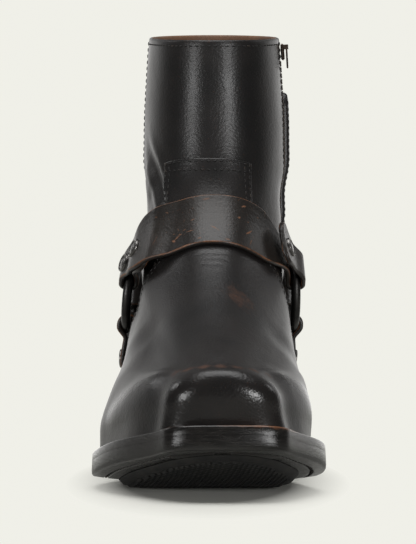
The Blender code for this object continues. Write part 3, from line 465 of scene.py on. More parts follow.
def slim_loop(inset, lift):
    """Loop along the sole's outline, drawn in at the toe, where the upper stands farther from the edge."""
    loop = sole_loop(inset, lift)
    along = along_of(loop)
    middle = sole_plan(along)[..., 1]
    share = 1 - TOE_SLIM * smooth_step(along, 222.0, 262.0)
    return points(middle + share * (loop[..., 0] - middle), along, loop[..., 2])


def ring_heights():
    """Share of the upper's height at each row of the ring table, measured up the front."""
    front = np.asarray(RINGS, float)[:, 2:4]
    return shares_of(front), reaches_of(front)[-1]


RING_SHARES, FRONT_LENGTH = ring_heights()
ring_table = spline(np.column_stack([RING_SHARES, np.asarray(RINGS, float)]))
vamp_edge = spline(VAMP_EDGE)


def round_ends(place, back_round, front_round, front_square):
    """Factor that closes a ring at its back and front ends."""
    back = np.clip((back_round - place) / back_round, 0.0, 1.0)
    front = np.clip((place - 1 + front_round) / front_round, 0.0, 1.0)
    back_square = 2.3
    return (1 - back**back_square)**(1 / back_square) * (1 - front**front_square)**(1 / front_square)


def half_ring(height, hand, count=241):
    """Closely spaced points from back to front along one side of the upper; hand is -1 outer or 1 inner."""
    ring = dict(zip(RING_COLUMNS, ring_table(height)))
    base = dict(zip(RING_COLUMNS, RINGS[0]))
    place = (1 - np.cos(np.linspace(0.0, math.pi, count))) / 2
    along = ring["back_along"] + place * (ring["front_along"] - ring["back_along"])
    widths = [ring[name] for name in ("heel", "heel", "waist", "ball", "flare", "toe", "nose", "tip")]
    width = spline(np.column_stack([WIDTH_STATIONS, widths]))(place)[..., 0]
    half = width * round_ends(place, ring["back_round"], ring["front_round"], ring["front_square"])
    if hand < 0:
        slim = smooth_step(place, 0.50, 0.65) * (1 - smooth_step(place, 0.8, 0.95))
        half = half - ring["outer_slim"] * slim
    middle = ring["follow"] * (sole_plan(along)[..., 1] - 0.8) + (1 - ring["follow"]) * SHAFT_SIDE
    side = middle + hand * half
    chord = ring["back_up"] + place * (ring["front_up"] - ring["back_up"])
    base_chord = base["back_up"] + place * (base["front_up"] - base["back_up"])
    feather = sole_up(side, along) + SOLE_STACK + SEAT_GAP
    return points(side, along, chord + ring["follow"] * (feather - base_chord))


def smooth_face():
    """Table of the upper's outer face before any crease, a row of turns for each height."""
    turns = np.linspace(0.0, 2.0, FACE_TURNS)
    rows = []
    for height in np.linspace(0.0, 1.0, FACE_ROWS):
        outer_side = half_ring(height, -1)
        inner_side = half_ring(height, 1)
        known = np.concatenate([shares_of(outer_side), 2 - shares_of(inner_side)[-2::-1]])
        line = np.concatenate([outer_side, inner_side[-2::-1]])
        rows.append(between_points(turns, known, line))
    return np.array(rows)


def face_normals(face):
    """Outward normals of a table that closes on itself sideways."""
    closed = np.concatenate([face[:, -2:-1], face, face[:, 1:2]], axis=1)
    across = closed[:, 2:] - closed[:, :-2]
    rise = np.gradient(face, axis=0)
    return unit(np.cross(across, rise))


def tree_over(face):
    """Search tree over a table of points that closes on itself sideways."""
    thin = face[::3, :-1:6]
    return BVHTree.FromPolygons([Vector(p) for p in thin.reshape(-1, 3)], squares(*thin.shape[:2]))


def near_line(places, line):
    """Distance from each place to a line of points, and the share of the line where it is nearest."""
    nearest = np.full(places.shape[:-1], 1e9)
    where = np.zeros(places.shape[:-1])
    count = len(line) - 1
    for i, (start, stop) in enumerate(zip(line[:-1], line[1:])):
        step = stop - start
        share = np.clip(((places - start) @ step) / max(step @ step, 1e-9), 0.0, 1.0)
        distance = np.linalg.norm(places - start - share[..., None] * step, axis=-1)
        where = np.where(distance < nearest, (i + share) / count, where)
        nearest = np.minimum(nearest, distance)
    return nearest, where


def line_on_face(tree, places, count=8):
    """Line through some places, drawn onto the upper's face."""
    corners = points(*np.array(places).T)
    steps = np.linspace(0.0, len(corners) - 1.0, count * (len(corners) - 1) + 1)
    line = between_points(steps, range(len(corners)), corners)
    return np.array([tree.find_nearest(Vector(place))[0] for place in line])


def creased(face, tree):
    """The upper's face with its creases: troughs between two low banks, or plain ridges, with soft ends."""
    bank_height, bank_away, bank_width = 0.45, 1.7, 0.8
    rise = np.zeros(face.shape[:2])
    for places, width, depth in CREASES:
        line = line_on_face(tree, places)
        distance, where = near_line(face, line)
        away = distance / width
        banks = bank_height * np.exp(-((away - bank_away) / bank_width)**2) if depth > 0 else 0.0
        fade = smooth_step(np.minimum(where, 1 - where), -0.05, 0.35)
        rise += depth * fade * (banks - np.exp(-away**2))
    roll = COLLAR_ROLL * smooth_step(np.linspace(0.0, 1.0, FACE_ROWS), 0.96, 1.0)
    return face + face_normals(face) * rise[..., None] - roll[:, None, None] * [0.0, 0.0, 1.0]


bare_face = smooth_face()
face_tree = tree_over(bare_face)
worn_face = creased(bare_face, face_tree)
worn_normals = face_normals(worn_face)


def look_up(table, height, turn):
    """Value of a table of the upper at heights and turns that may lie between its rows and columns."""
    row = np.clip(np.asarray(height, float), 0.0, 1.0) * (FACE_ROWS - 1)
    column = (np.asarray(turn, float) % 2.0) / 2.0 * (FACE_TURNS - 1)
    i = np.minimum(row.astype(int), FACE_ROWS - 2)
    j = np.minimum(column.astype(int), FACE_TURNS - 2)
    down = (row - i)[..., None]
    over = (column - j)[..., None]
    low = table[i, j] * (1 - over) + table[i, j + 1] * over
    high = table[i + 1, j] * (1 - over) + table[i + 1, j + 1] * over
    return low * (1 - down) + high * down


def on_face(height, turn, distance=0.0):
    """Places at a distance outside the upper's worn face."""
    height, turn, distance = np.broadcast_arrays(height, turn, distance)
    normal = unit(look_up(worn_normals, height, turn))
    return look_up(worn_face, height, turn) + normal * distance[..., None]


def turn_at_along(height, along, hand):
    """Turn at which one side of the upper reaches a place along the boot."""
    turns = np.linspace(0.0 if hand < 0 else 2.0, 1.0, SIDE_STEPS)
    places = along_of(look_up(bare_face, height, turns))
    return float(np.interp(along, places, turns))


def turn_per_length(height, hand):
    """Turn covered by one millimetre along one side of the upper."""
    turns = np.linspace(0.0, 1.0, SIDE_STEPS) if hand < 0 else np.linspace(1.0, 2.0, SIDE_STEPS)
    return 1.0 / line_length(look_up(bare_face, height, turns))


def zip_turns(height, reaches):
    """Turns at given distances in front of the zip's middle line."""
    middle = turn_at_along(height, ZIP_ALONG, 1)
    return middle - np.asarray(reaches) * turn_per_length(height, 1)


def new_object(name, data):
    item = bpy.data.objects.new(name, data)
    bpy.context.scene.collection.objects.link(item)
    return item


def clean_mesh(data, merge, sharp):
    """Turn a mesh's faces outward and shade it smooth where it turns by less than an angle in degrees."""
    mesh = bmesh.new()
    mesh.from_mesh(data)
    if merge:
        bmesh.ops.remove_doubles(mesh, verts=mesh.verts, dist=JOIN_DISTANCE)
    bmesh.ops.recalc_face_normals(mesh, faces=mesh.faces)
    mesh.to_mesh(data)
    mesh.free()
    data.shade_smooth()
    data.set_sharp_from_angle(angle=math.radians(sharp))


def make_object(name, corners, faces, slots=None, merge=False):
    """Object of the scene from points in millimetres and lists of corner numbers."""
    data = bpy.data.meshes.new(name)
    data.from_pydata((np.asarray(corners) + SHIFT) * MM, [], faces)
    if slots is not None:
        data.polygons.foreach_set("material_index", slots)
    clean_mesh(data, merge, 50.0)
    return new_object(name, data)


def finish_piece(item, materials, slot, *nodes):
    """Give a piece its materials, and let it stand for its solids."""
    for material in materials:
        item.data.materials.append(material)
    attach(item, BOOT)
    if nodes:
        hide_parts(*nodes)
    return item


def shell(name, outer, inner, wrap=False, keep=None, inner_slot=0):
    """Closed piece between an outer and an inner grid of points."""
    rows, columns = outer.shape[:2]
    cells = columns if wrap else columns - 1
    offset = rows * columns
    faces = []
    lined = []
    edges = {}
    for i in range(rows - 1):
        for j in range(cells):
            if keep is not None and not keep[i, j]:
                continue
            corners = square(i, j, columns)
            faces.append(corners)
            lined.append(0)
            faces.append(tuple(offset + corner for corner in corners[::-1]))
            lined.append(inner_slot)
            for start, stop in zip(corners, corners[1:] + corners[:1]):
                if edges.pop((stop, start), None) is None:
                    edges[start, stop] = True
    for start, stop in edges:
        faces.append((stop, start, offset + start, offset + stop))
        lined.append(0)
    return make_object(name, np.concatenate([outer.reshape(-1, 3), inner.reshape(-1, 3)]), faces, lined)


def loop_plate(name, loops, caps=True):
    """Closed piece from loops of points stacked on each other; each runs up one side and down the other."""
    loops = np.asarray(loops)
    rows, columns = loops.shape[:2]
    faces = squares(rows, columns)
    if caps:
        for row in (0, rows - 1):
            for j in range(columns // 2 - 1):
                left = row * columns + j
                right = row * columns + columns - 1 - j
                faces.append((left, left + 1, right - 1, right))
    return make_object(name, loops.reshape(-1, 3), faces, merge=not caps)


def set_attribute(item, name, values):
    """Store a number for each point of a piece."""
    attribute = item.data.attributes.new(name, "FLOAT", "POINT")
    attribute.data.foreach_set("value", np.asarray(values, np.float32))


def places_of(item):
    """Points of a piece in the boot's own millimetres."""
    found = np.zeros(len(item.data.vertices) * 3, np.float32)
    item.data.vertices.foreach_get("co", found)
    return found.reshape(-1, 3).astype(float) / MM - SHIFT


def edge_rise(distance, reach):
    """Rounded edge of a layer: 0 at the cut edge, 1 where the layer has its full thickness."""
    near = np.clip(1 - np.asarray(distance) / reach, 0.0, 1.0)
    return np.sqrt(1 - 0.98 * near**2)


def upper_turns(height):
    """Columns of the upper at a height, closer together round the toe, with two on the zip's slot."""
    even = np.linspace(0.0, 1.0, UPPER_COLUMNS + 1)
    shares = even + 0.11 * np.sin(math.pi * even)
    front, back = zip_turns(height, [ZIP_SLOT / 2, -ZIP_SLOT / 2])
    behind = shares[:ZIP_COLUMN + 1] * (2 - back) / shares[ZIP_COLUMN]
    ahead = 1 - (1 - shares[ZIP_COLUMN + 1:]) * (front - 1) / (1 - shares[ZIP_COLUMN + 1])
    inner_shares = np.concatenate([behind, ahead])
    return np.concatenate([shares[:-1], 2 - inner_shares[:0:-1]])


def make_upper(leather, lining):
    """Hollow leather wall of foot and shaft, lined, with a turned collar and a slot for the zip."""
    heights = np.unique(np.append(np.linspace(0.0, 1.0, UPPER_ROWS), ZIP_FROM))
    turns = np.array([upper_turns(height) for height in heights])
    outer = on_face(heights[:, None], turns)
    inner = on_face(heights[:, None], turns, -WALL)
    for inset, lift in COLLAR_EDGE:
        outer = np.concatenate([outer, on_face(1.0, turns[-1:], -inset) + [0, 0, lift]])
        inner = np.concatenate([inner, on_face(1.0, turns[-1:], -WALL + inset) + [0, 0, lift]])
    keep = np.ones((len(outer) - 1, turns.shape[1]), bool)
    keep[np.searchsorted(heights, ZIP_FROM):, 2 * UPPER_COLUMNS - ZIP_COLUMN - 1] = False
    item = shell("upper_leather_wall", outer, inner, wrap=True, keep=keep, inner_slot=1)
    wear_marks(item)
    return finish_piece(item, [leather, lining], "upper_leather", "upper")


def vamp_ends(height):
    """Turns at which the vamp's back edge lies on the outer and on the inner side."""
    outer_edge, inner_edge = vamp_edge(height)
    return turn_at_along(height, outer_edge, -1), turn_at_along(height, inner_edge, 1)


def vamp_spot(height, share):
    """Height and turn on the vamp: share runs from -1 on its outer edge to 1 on its inner edge."""
    start, stop = vamp_ends(height)
    turn = 1 + np.where(share < 0, share * (1 - start), share * (stop - 1))
    drop = TONGUE_ARCH / FRONT_LENGTH * np.abs(share)**2.5 * (height / VAMP_TO)**10
    return height - drop, turn


def make_vamp(leather):
    """Leather from the toe over the instep to the tongue on the shaft's front, with cut edges."""
    top_steps = EDGE_STEPS[::-1] / FRONT_LENGTH
    low_rows = np.linspace(0.0, VAMP_TO - top_steps[0], VAMP_ROWS)[:-1]
    heights = np.concatenate([low_rows, VAMP_TO - top_steps])
    rows = []
    for height in heights:
        start, stop = vamp_ends(height)
        outer_steps = EDGE_STEPS * turn_per_length(height, -1) / (1 - start)
        inner_steps = EDGE_STEPS * turn_per_length(height, 1) / (stop - 1)
        middle = np.linspace(-1 + outer_steps[-1], 1 - inner_steps[-1], VAMP_COLUMNS)
        share = np.concatenate([-1 + outer_steps[:-1], middle, 1 - inner_steps[-2::-1]])
        inside = np.full(VAMP_COLUMNS, 3 * EDGE_STEPS[-1])
        from_side = np.concatenate([EDGE_STEPS[:-1], inside, EDGE_STEPS[-2::-1]])
        edge = np.minimum(from_side, (VAMP_TO - height) * FRONT_LENGTH)
        spot = vamp_spot(height, share)
        thick = (VAMP_CLEAR + VAMP_THICKNESS) * edge_rise(edge, VAMP_EDGE_ROUND)
        rows.append((on_face(*spot, thick), on_face(*spot, LAYER_GAP)))
    outer, inner = (np.array(side) for side in zip(*rows))
    for grid in (outer, inner):
        low = grid[0]
        low[:, 2] = sole_up(low[:, 0], along_of(low)) + SOLE_STACK - 0.1
    item = shell("vamp_leather", outer, inner)
    wear_marks(item)
    return finish_piece(item, [leather], "upper_leather", "vamp")


def make_zip_guard(leather):
    """Padded leather strip behind the zip, with round top corners."""
    steps = EDGE_STEPS[:-1]
    heights = np.concatenate([
        GUARD_FROM + steps / FRONT_LENGTH,
        np.linspace(GUARD_FROM + 3 / FRONT_LENGTH, GUARD_TO - 3 / FRONT_LENGTH, 90),
        (GUARD_TO - steps / FRONT_LENGTH)[::-1],
    ])
    outer = []
    inner = []
    for height in heights:
        corner = np.clip((GUARD_TO - height) / 0.03, 0.0, 1.0)
        inset = GUARD_CORNER * (1 - math.sqrt(1 - (1 - corner)**2))
        start = GUARD_START + inset
        stop = GUARD_START + GUARD_WIDTH - inset
        reach = np.concatenate([start + steps, np.linspace(start + 3, stop - 3, 22), (stop - steps)[::-1]])
        end = min(GUARD_TO - height, height - GUARD_FROM) * FRONT_LENGTH
        edge = np.minimum(np.minimum(reach - start, stop - reach), end)
        pad = 0.5 * np.sin(math.pi * (reach - start) / (stop - start))
        layer = GUARD_THICKNESS * edge_rise(edge, GUARD_EDGE_ROUND)
        thick = GUARD_CLEAR + layer + pad * smooth_step(edge, 1.0, 5.0)
        turns = zip_turns(height, -reach)
        outer.append(on_face(height, turns, thick))
        inner.append(on_face(height, turns, LAYER_GAP))
    item = shell("zip_guard_leather", np.array(outer), np.array(inner))
    wear_marks(item)
    return finish_piece(item, [leather], "upper_leather", "zip_guard")


def zip_line(reach, distance, low, high, count=160):
    """Line up the zip at a distance in front of its middle."""
    heights = np.linspace(low, high, count)
    turns = np.array([zip_turns(height, [reach])[0] for height in heights])
    return face_line(heights, turns, distance)


def make_zip(cloth, metal):
    """Woven tape in the upper's slot; its chain of teeth follows a path up each edge."""
    heights = np.linspace(ZIP_FROM + 0.004, ZIP_TO, 90)
    edge = ZIP_SLOT / 2 - 0.1
    reaches = np.linspace(edge, -edge, 12)
    turns = np.array([zip_turns(height, reaches) for height in heights])
    item = shell("zip_tape", on_face(heights[:, None], turns, TAPE_FACE),
                 on_face(heights[:, None], turns, -WALL + 0.2))
    finish_piece(item, [cloth], "zip_tape", "zip")
    low = ZIP_FROM + 0.01
    half_pitch = TOOTH_PITCH / 2 / FRONT_LENGTH
    lines = [zip_line(0.8, -0.1, low, TEETH_TO), zip_line(-0.8, -0.1, low + half_pitch, TEETH_TO)]
    teeth = along_paths("zip_teeth", lines, metal, "block", TOOTH_PITCH, TOOTH_SIZE)
    return finish_piece(teeth, [], "zip_metal")


def make_outsole(edge_leather):
    """Leather plate with a dressed edge, a stitch groove underneath, toe spring and arch."""
    profile = (
        (16.0, 0.0), (7.9, 0.0), (7.5, 0.7), (6.3, 0.7), (5.9, 0.0), (1.5, 0.0), (0.6, 0.25), (0.15, 0.9),
        (0.0, 2.4), (0.1, 4.6), (0.2, 7.1), (0.22, 7.18),
        (0.35, OUTSOLE_THICKNESS), (14.0, OUTSOLE_THICKNESS),
    )
    item = loop_plate("outsole_plate", [sole_loop(inset, lift) for inset, lift in profile])
    sole_marks(item)
    return finish_piece(item, [edge_leather], "sole_leather", "outsole")


def make_welt(edge_leather):
    """Strip on the outsole round the upper; its outer edge runs flush with the outsole's."""
    low = OUTSOLE_THICKNESS + LAYER_GAP
    high = low + GAP + WELT_THICKNESS - LAYER_GAP
    profile = (
        (0.35, low), (0.22, low + 0.02), (0.22, low + 0.1),
        (0.42, high - 1.1), (0.8, high - 0.35), (1.5, high),
    )
    loops = [sole_loop(inset, lift) for inset, lift in profile]
    inner = [slim_loop(WELT_WIDTH, low), slim_loop(WELT_WIDTH, high)]
    item = loop_plate("welt_strip", [inner[0]] + loops + [inner[1], inner[0]], caps=False)
    sole_marks(item)
    return finish_piece(item, [edge_leather], "sole_leather", "welt")


def make_insole(lining):
    """Footbed inside the welt."""
    inset = WELT_WIDTH + GAP
    low = OUTSOLE_THICKNESS + GAP
    high = low + INSOLE_THICKNESS
    profile = ((inset, low), (inset, high - 0.6), (inset + 0.6, high), (inset + 8, high + 0.2))
    item = loop_plate("insole_footbed", [slim_loop(i, lift) for i, lift in profile])
    return finish_piece(item, [lining], "footbed", "insole")


def make_tread(black_rubber):
    """Rubber pad under the forefoot with a field of small raised lozenges."""
    stop = SOLE_LENGTH - TREAD_INSET
    across = np.linspace(-1.0, 1.0, 25)
    stations = np.concatenate([np.linspace(TREAD_FROM, 270.0, 60)[:-1], sole_stations(270.0, stop, 50)])
    length = stop - TREAD_FROM
    lower = TREAD_FROM + TREAD_CHAMFER + (stations - TREAD_FROM) * (length - 2 * TREAD_CHAMFER) / length
    top = sole_sheet(TREAD_INSET, -GAP / 2, stations, across)
    bottom = sole_sheet(TREAD_INSET + TREAD_CHAMFER, -GAP - TREAD_THICKNESS, lower, across)
    bottom[..., 2] = np.maximum(bottom[..., 2], 0.0) + LOZENGE_HEIGHT
    item = shell("tread_pad", top, bottom)
    finish_piece(item, [black_rubber], "sole_rubber", "forefoot_tread")
    spots = []
    for row, along in enumerate(np.arange(TREAD_FROM + 6, stop - 5, LOZENGE_PITCH * 0.5)):
        half = float(sole_half(np.array(along), TREAD_INSET + TREAD_CHAMFER)) - 2.5
        middle = float(sole_plan(along)[1])
        offset = LOZENGE_PITCH / 2 * (row % 2)
        for step in range(-15, 16):
            side = step * LOZENGE_PITCH + offset
            if abs(side) < half:
                spots.append((middle + side, along))
    spots = np.array(spots)
    up = np.maximum(sole_up(spots[:, 0], spots[:, 1]) - GAP - TREAD_THICKNESS, 0.0) + LOZENGE_HEIGHT
    places = points(spots[:, 0], spots[:, 1], up)
    slope = (sole_profile(spots[:, 1] + 1)[..., 0] - sole_profile(spots[:, 1] - 1)[..., 0]) / 2
    facing = unit(np.stack([0 * slope, -slope, -np.ones(len(slope))], axis=-1))
    lozenge = make_lozenge()
    field = on_spots("tread_lozenges", places, facing, lozenge, black_rubber)
    return finish_piece(field, [], "sole_rubber")


def make_lozenge():
    """Low four-sided stud of the tread."""
    half = LOZENGE_PITCH * 0.46
    ring = [(half, 0), (0, half), (-half, 0), (0, -half)]
    corners = [(x, y, -0.2) for x, y in ring]
    corners += [(0.45 * x, 0.45 * y, LOZENGE_HEIGHT) for x, y in ring]
    faces = [(0, 1, 5, 4), (1, 2, 6, 5), (2, 3, 7, 6), (3, 0, 4, 7), (4, 5, 6, 7)]
    return helper_object("lozenge", corners, faces)


def heel_loop(up, trim=0.0, seat=False, rows=60):
    """Loop round the heel at a height, narrower towards the floor; a seat loop follows the outsole."""
    drop = 1 - up / HEEL_SEAT
    inset = HEEL_INSET + HEEL_TAPER * drop + trim
    start = inset + HEEL_BACK_SLOPE * drop
    breast = HEEL_BREAST - HEEL_BREAST_SLOPE * drop - trim
    share = 1 - np.cos(np.linspace(0.0, math.pi / 2, rows))
    across = np.linspace(-1.0, 1.0, 24)
    flank = start + share * (breast - start)
    front = breast - HEEL_BREAST_CURVE * (1 - across[1:-1]**2)
    along = np.concatenate([flank, front, flank[::-1]])
    spread = np.concatenate([-np.ones(rows), across[1:-1], np.ones(rows)])
    place = HEEL_ROUND * (flank - start) / (HEEL_ROUND - start) + inset * (1 - share)
    half = sole_half(np.maximum(place, inset), inset)
    half = np.concatenate([half, np.full(len(across) - 2, half[-1]), half[::-1]])
    side = sole_plan(along)[..., 1] + spread * half
    if seat:
        return points(side, along, sole_up(side, along) - LAYER_GAP)
    return points(side, along, up)


def make_heel(edge_leather, black_rubber):
    """Stack of leather lifts on a rubber lift, each with slightly rounded edges."""
    height = (HEEL_SEAT - GAP - HEEL_TOP_LIFT) / HEEL_LIFT_COUNT
    bottom = 0.0
    for index in range(HEEL_LIFT_COUNT + 1):
        top = HEEL_TOP_LIFT + index * height + GAP / 2
        seat = index == HEEL_LIFT_COUNT
        loops = [heel_loop(bottom, 0.35), heel_loop(bottom + 0.15, 0.1), heel_loop(bottom + 0.4)]
        if seat:
            loops.append(heel_loop(HEEL_SEAT, 0.0, True) - [0, 0, 0.4])
            loops.append(heel_loop(HEEL_SEAT, 0.3, True))
        else:
            loops += [heel_loop(top - 0.4), heel_loop(top - 0.15, 0.1), heel_loop(top, 0.35)]
        if index == 0:
            item = loop_plate("heel_rubber_lift", loops)
            finish_piece(item, [black_rubber], "sole_rubber", "heel_top_lift")
        else:
            item = loop_plate(f"heel_leather_lift_{index}", loops)
            sole_marks(item)
            finish_piece(item, [edge_leather], "sole_leather", f"heel_lift_{index}")
        bottom = top + LAYER_GAP


def side_at(along, up, hand):
    """Sideways place of the upper's face beside a point inside the boot."""
    start = Vector((SHAFT_SIDE, SOLE_LENGTH / 2 - along, up))
    return face_tree.ray_cast(start, Vector((hand, 0, 0)))[0].x


def ring_spot(angle, reach):
    """Along and height at an angle and distance from a ring's middle, seen from the side."""
    turn = math.radians(angle)
    return RING_ALONG + reach * math.cos(turn), RING_UP + reach * math.sin(turn)


def ring_plane(hand):
    """Coefficients of the plane a ring lies in: side = a + b * along + c * up."""
    out = STRAP_THICKNESS + FOLD_RADIUS
    rows = []
    sides = []
    for angle, clear in RING_CLEAR.items():
        along, up = ring_spot(angle, RING_RADIUS)
        rows.append((1.0, along, up))
        sides.append(side_at(along, up, hand) + hand * (clear + out))
    return np.linalg.solve(np.array(rows), np.array(sides))


def make_ring(name, node, plane, metal):
    """Round wire ring of the harness."""
    centre = np.array([plane @ np.array([1.0, RING_ALONG, RING_UP]), SOLE_LENGTH / 2 - RING_ALONG, RING_UP])
    normal = Vector((1.0, plane[1], -plane[2]))
    turned = np.array(Vector((0, 0, 1)).rotation_difference(normal).to_matrix())
    turn = np.linspace(0.0, 2 * math.pi, 97)[:, None]
    tilt = np.linspace(0.0, 2 * math.pi, 25)[None, :]
    reach = RING_RADIUS + WIRE_RADIUS * np.cos(tilt)
    depth = WIRE_RADIUS * np.sin(tilt) + 0 * turn
    local = np.stack([reach * np.cos(turn), reach * np.sin(turn), depth], axis=-1)
    grid = centre + local @ turned.T
    rows, columns = grid.shape[:2]
    faces = []
    for i in range(rows - 1):
        for j in range(columns - 1):
            corner = i * columns + j
            faces.append((corner, corner + columns, corner + columns + 1, corner + 1))
    item = make_object(name, grid.reshape(-1, 3), faces, merge=True)
    return finish_piece(item, [metal], "ring_metal", node)


def outer_hull(line):
    """Part of a flat line that a tight strap touches, from its first side to its other side."""
    hull = []
    for point in line[np.argsort(line[:, 0])]:
        while len(hull) > 1:
            first = hull[-1] - hull[-2]
            second = point - hull[-2]
            if first[0] * second[1] - first[1] * second[0] < 0:
                break
            hull.pop()
        hull.append(point)
    return np.array(hull)


def strap_section(ahead, across, shift, ends):
    """Line across the boot that a tight strap follows: sideways and distance ahead of the rings."""
    middle = Vector((SHAFT_SIDE - 1.5, SOLE_LENGTH / 2 - RING_ALONG, RING_UP)) + across * shift
    line = [(side, FOLD_REACH) for side in ends]
    for angle in np.linspace(0.0, math.pi, 361):
        hit = face_tree.ray_cast(middle, Vector((-math.cos(angle), 0, 0)) + ahead * math.sin(angle))[0]
        reach = (hit - middle).dot(ahead)
        if reach > FOLD_REACH:
            line.append((hit.x, reach))
    hull = outer_hull(np.array(line))
    dense = np.linspace(0.0, 1.0, 400)
    even = between_points(dense, shares_of(hull), hull)
    for _ in range(30):
        even[1:-1] = 0.25 * even[:-2] + 0.5 * even[1:-1] + 0.25 * even[2:]
    return even


def flat_normals(line):
    step = np.gradient(line, axis=0)
    return unit(np.stack([-step[:, 1], step[:, 0]], axis=-1))


def strap_column(line, fold_sides, layout):
    """Middle line of a strap in one flat section, from its first end to its other end.

    The layout names the clearance, how far each end turns back, and whether the strap's own run lies
    outside or inside the turned-back end at its first ring.
    """
    length = line_length(line)
    share = shares_of(line)
    normal = flat_normals(line)
    single = layout["clear"] + STRAP_THICKNESS / 2
    turn = FOLD_RADIUS + STRAP_THICKNESS / 2
    apart = STRAP_THICKNESS + STRAP_LAYER_GAP

    def at(reach):
        out = between_points(reach / length, share, normal)
        return between_points(reach / length, share, line), out / np.linalg.norm(out)

    low = []
    for reach, fold_side in ((0.0, fold_sides[0]), (length, fold_sides[1])):
        place, out = at(reach)
        low.append((fold_side - place[0]) / out[0] - turn)

    def inner_layer(reach):
        near = 1 - smooth_step(reach, 0.0, SETTLE)
        far = 1 - smooth_step(length - reach, 0.0, SETTLE)
        belly = layout["belly"] * smooth_step(reach, 4.0, 20.0) * (1 - smooth_step(reach, 26.0, 50.0))
        return single + (low[0] - single) * near + (low[1] - single) * far + belly

    def outer_layer(reach, from_end):
        opening = (2 * turn - apart) * (1 - smooth_step(from_end, 3.5, SETTLE))
        return inner_layer(reach) + apart + opening

    def fold(end):
        reach = 0.0 if end == 0 else length
        place, out = at(reach)
        away = np.array([out[1], -out[0]]) * (-1 if end == 0 else 1)
        centre = place + out * (low[end] + turn)
        angles = np.linspace(0.0, math.pi, FOLD_ROWS + 2)[1:-1]
        return [centre + turn * (-out * math.cos(a) + away * math.sin(a)) for a in angles]

    def run(reaches, depth):
        return [at(reach)[0] + at(reach)[1] * depth(reach) for reach in reaches]

    def tail(reach, back):
        return outer_layer(reach, min(reach, length - reach)) + layout["splay"] * back**2

    first_back, last_back = layout["turn_back"]

    def own_run(reach):
        outside = 1 - smooth_step(reach, first_back + 1.0, first_back + SETTLE)
        return inner_layer(reach) + (outer_layer(reach, reach) - inner_layer(reach)) * outside

    ends = np.linspace(0.0, 1.0, TAIL_ROWS)
    middle = np.linspace(0.0, length, layout["rows"])
    rows = []
    if layout["main_outside"]:
        rows += run(first_back * ends[::-1], inner_layer)
        rows += fold(0)
        rows += run(middle, own_run)
    else:
        rows += run(first_back * ends[::-1], lambda r: tail(r, r / first_back))
        rows += fold(0)[::-1]
        rows += run(middle, inner_layer)
    rows += fold(1)
    rows += run(length - last_back * ends, lambda r: tail(r, (length - r) / last_back))
    return np.array(rows)


def strap_widths(layout, length):
    """Share of the full width at each row: narrower at the rings, rounded at the loose ends."""
    narrow = LOOP_WIDTH / layout["width"]
    ends = np.linspace(0.0, 1.0, TAIL_ROWS)
    middle = np.linspace(0.0, length, layout["rows"])

    def taper(reach, widens):
        return narrow + (1 - narrow) * smooth_step(reach, *widens)

    def tail(back, widens):
        reach = back * ends
        tip = np.clip((reach - back + TIP_ROUND) / TIP_ROUND, 0.0, TIP_CLOSED)
        return taper(reach, widens) * np.sqrt(1 - tip**2)

    fold = np.full(FOLD_ROWS, narrow)
    first_back, last_back = layout["turn_back"]
    first, last = layout["widens"]
    run = np.minimum(taper(middle, first), taper(length - middle, last))
    return np.concatenate([tail(first_back, first)[::-1], fold, run, fold, tail(last_back, last)])


def strap_spread(columns):
    """Places across a strap from -1 to 1, closer together at its edges."""
    return np.sin(np.linspace(-math.pi / 2, math.pi / 2, columns))


def strap_grid(planes, layout):
    """Middle points of a flat strap from ring to ring, folded round both of them, and its widths."""
    angle = math.radians(layout["angle"])
    ahead = Vector((0, -math.cos(angle), math.sin(angle)))
    across = ahead.cross(Vector((1, 0, 0)))
    ring = Vector((0, SOLE_LENGTH / 2 - RING_ALONG, RING_UP))
    inward = FOLD_RADIUS + STRAP_THICKNESS + layout["clear"]
    spots = np.linspace(-1.0, 1.0, 9)
    columns = []
    for spot in spots:
        shift = spot * layout["width"] / 2
        fold = ring + across * shift + ahead * FOLD_REACH
        where = np.array([1.0, SOLE_LENGTH / 2 - fold.y, fold.z])
        sides = [planes[-1] @ where, planes[1] @ where]
        ends = [sides[0] + inward, sides[1] - inward]
        line = strap_section(ahead, across, shift, ends)
        if abs(spot) < 1e-9:
            length = line_length(line)
        columns.append(strap_column(line, sides, layout))
    columns = np.array(columns)
    shares = strap_widths(layout, length)
    grid = []
    for row, share in enumerate(shares):
        wanted = share * strap_spread(layout["columns"])
        side = np.interp(wanted, spots, columns[:, row, 0])
        reach = np.interp(wanted, spots, columns[:, row, 1])
        line = np.array(ring) + np.outer(side, (1, 0, 0)) + np.outer(reach, ahead)
        grid.append(line + np.outer(wanted * layout["width"] / 2, across))
    return np.array(grid), shares * layout["width"]


def make_strap(name, node, grid, widths, leather):
    """Leather strap of the harness round its middle points, thin and round at its cut edges."""
    step = np.gradient(grid, axis=0)
    wide = np.gradient(grid, axis=1)
    normal = unit(np.cross(step, wide))
    spread = strap_spread(grid.shape[1])
    edge = (1 - np.abs(spread))[None, :] * widths[:, None] / 2
    middle = grid[:, grid.shape[1] // 2]
    tip = reaches_of(middle)
    edge = np.minimum(edge, np.minimum(tip, tip[-1] - tip)[:, None])
    half = STRAP_THICKNESS / 2 * edge_rise(edge, 0.9)[..., None]
    item = shell(name, grid + normal * half, grid - normal * half)
    arris = np.exp(-((edge.ravel() - 0.5) / 0.4)**2)
    set_attribute(item, "cut_edge", np.concatenate([arris, 0.5 * arris]))
    reach = np.broadcast_to(tip[:, None] - tip[-1] / 2, edge.shape)
    over = spread[None, :] * widths[:, None] / 2
    set_attribute(item, "rub", np.tile(strap_rubs(node, reach, over).ravel(), 2))
    return finish_piece(item, [leather], "strap_leather", node)


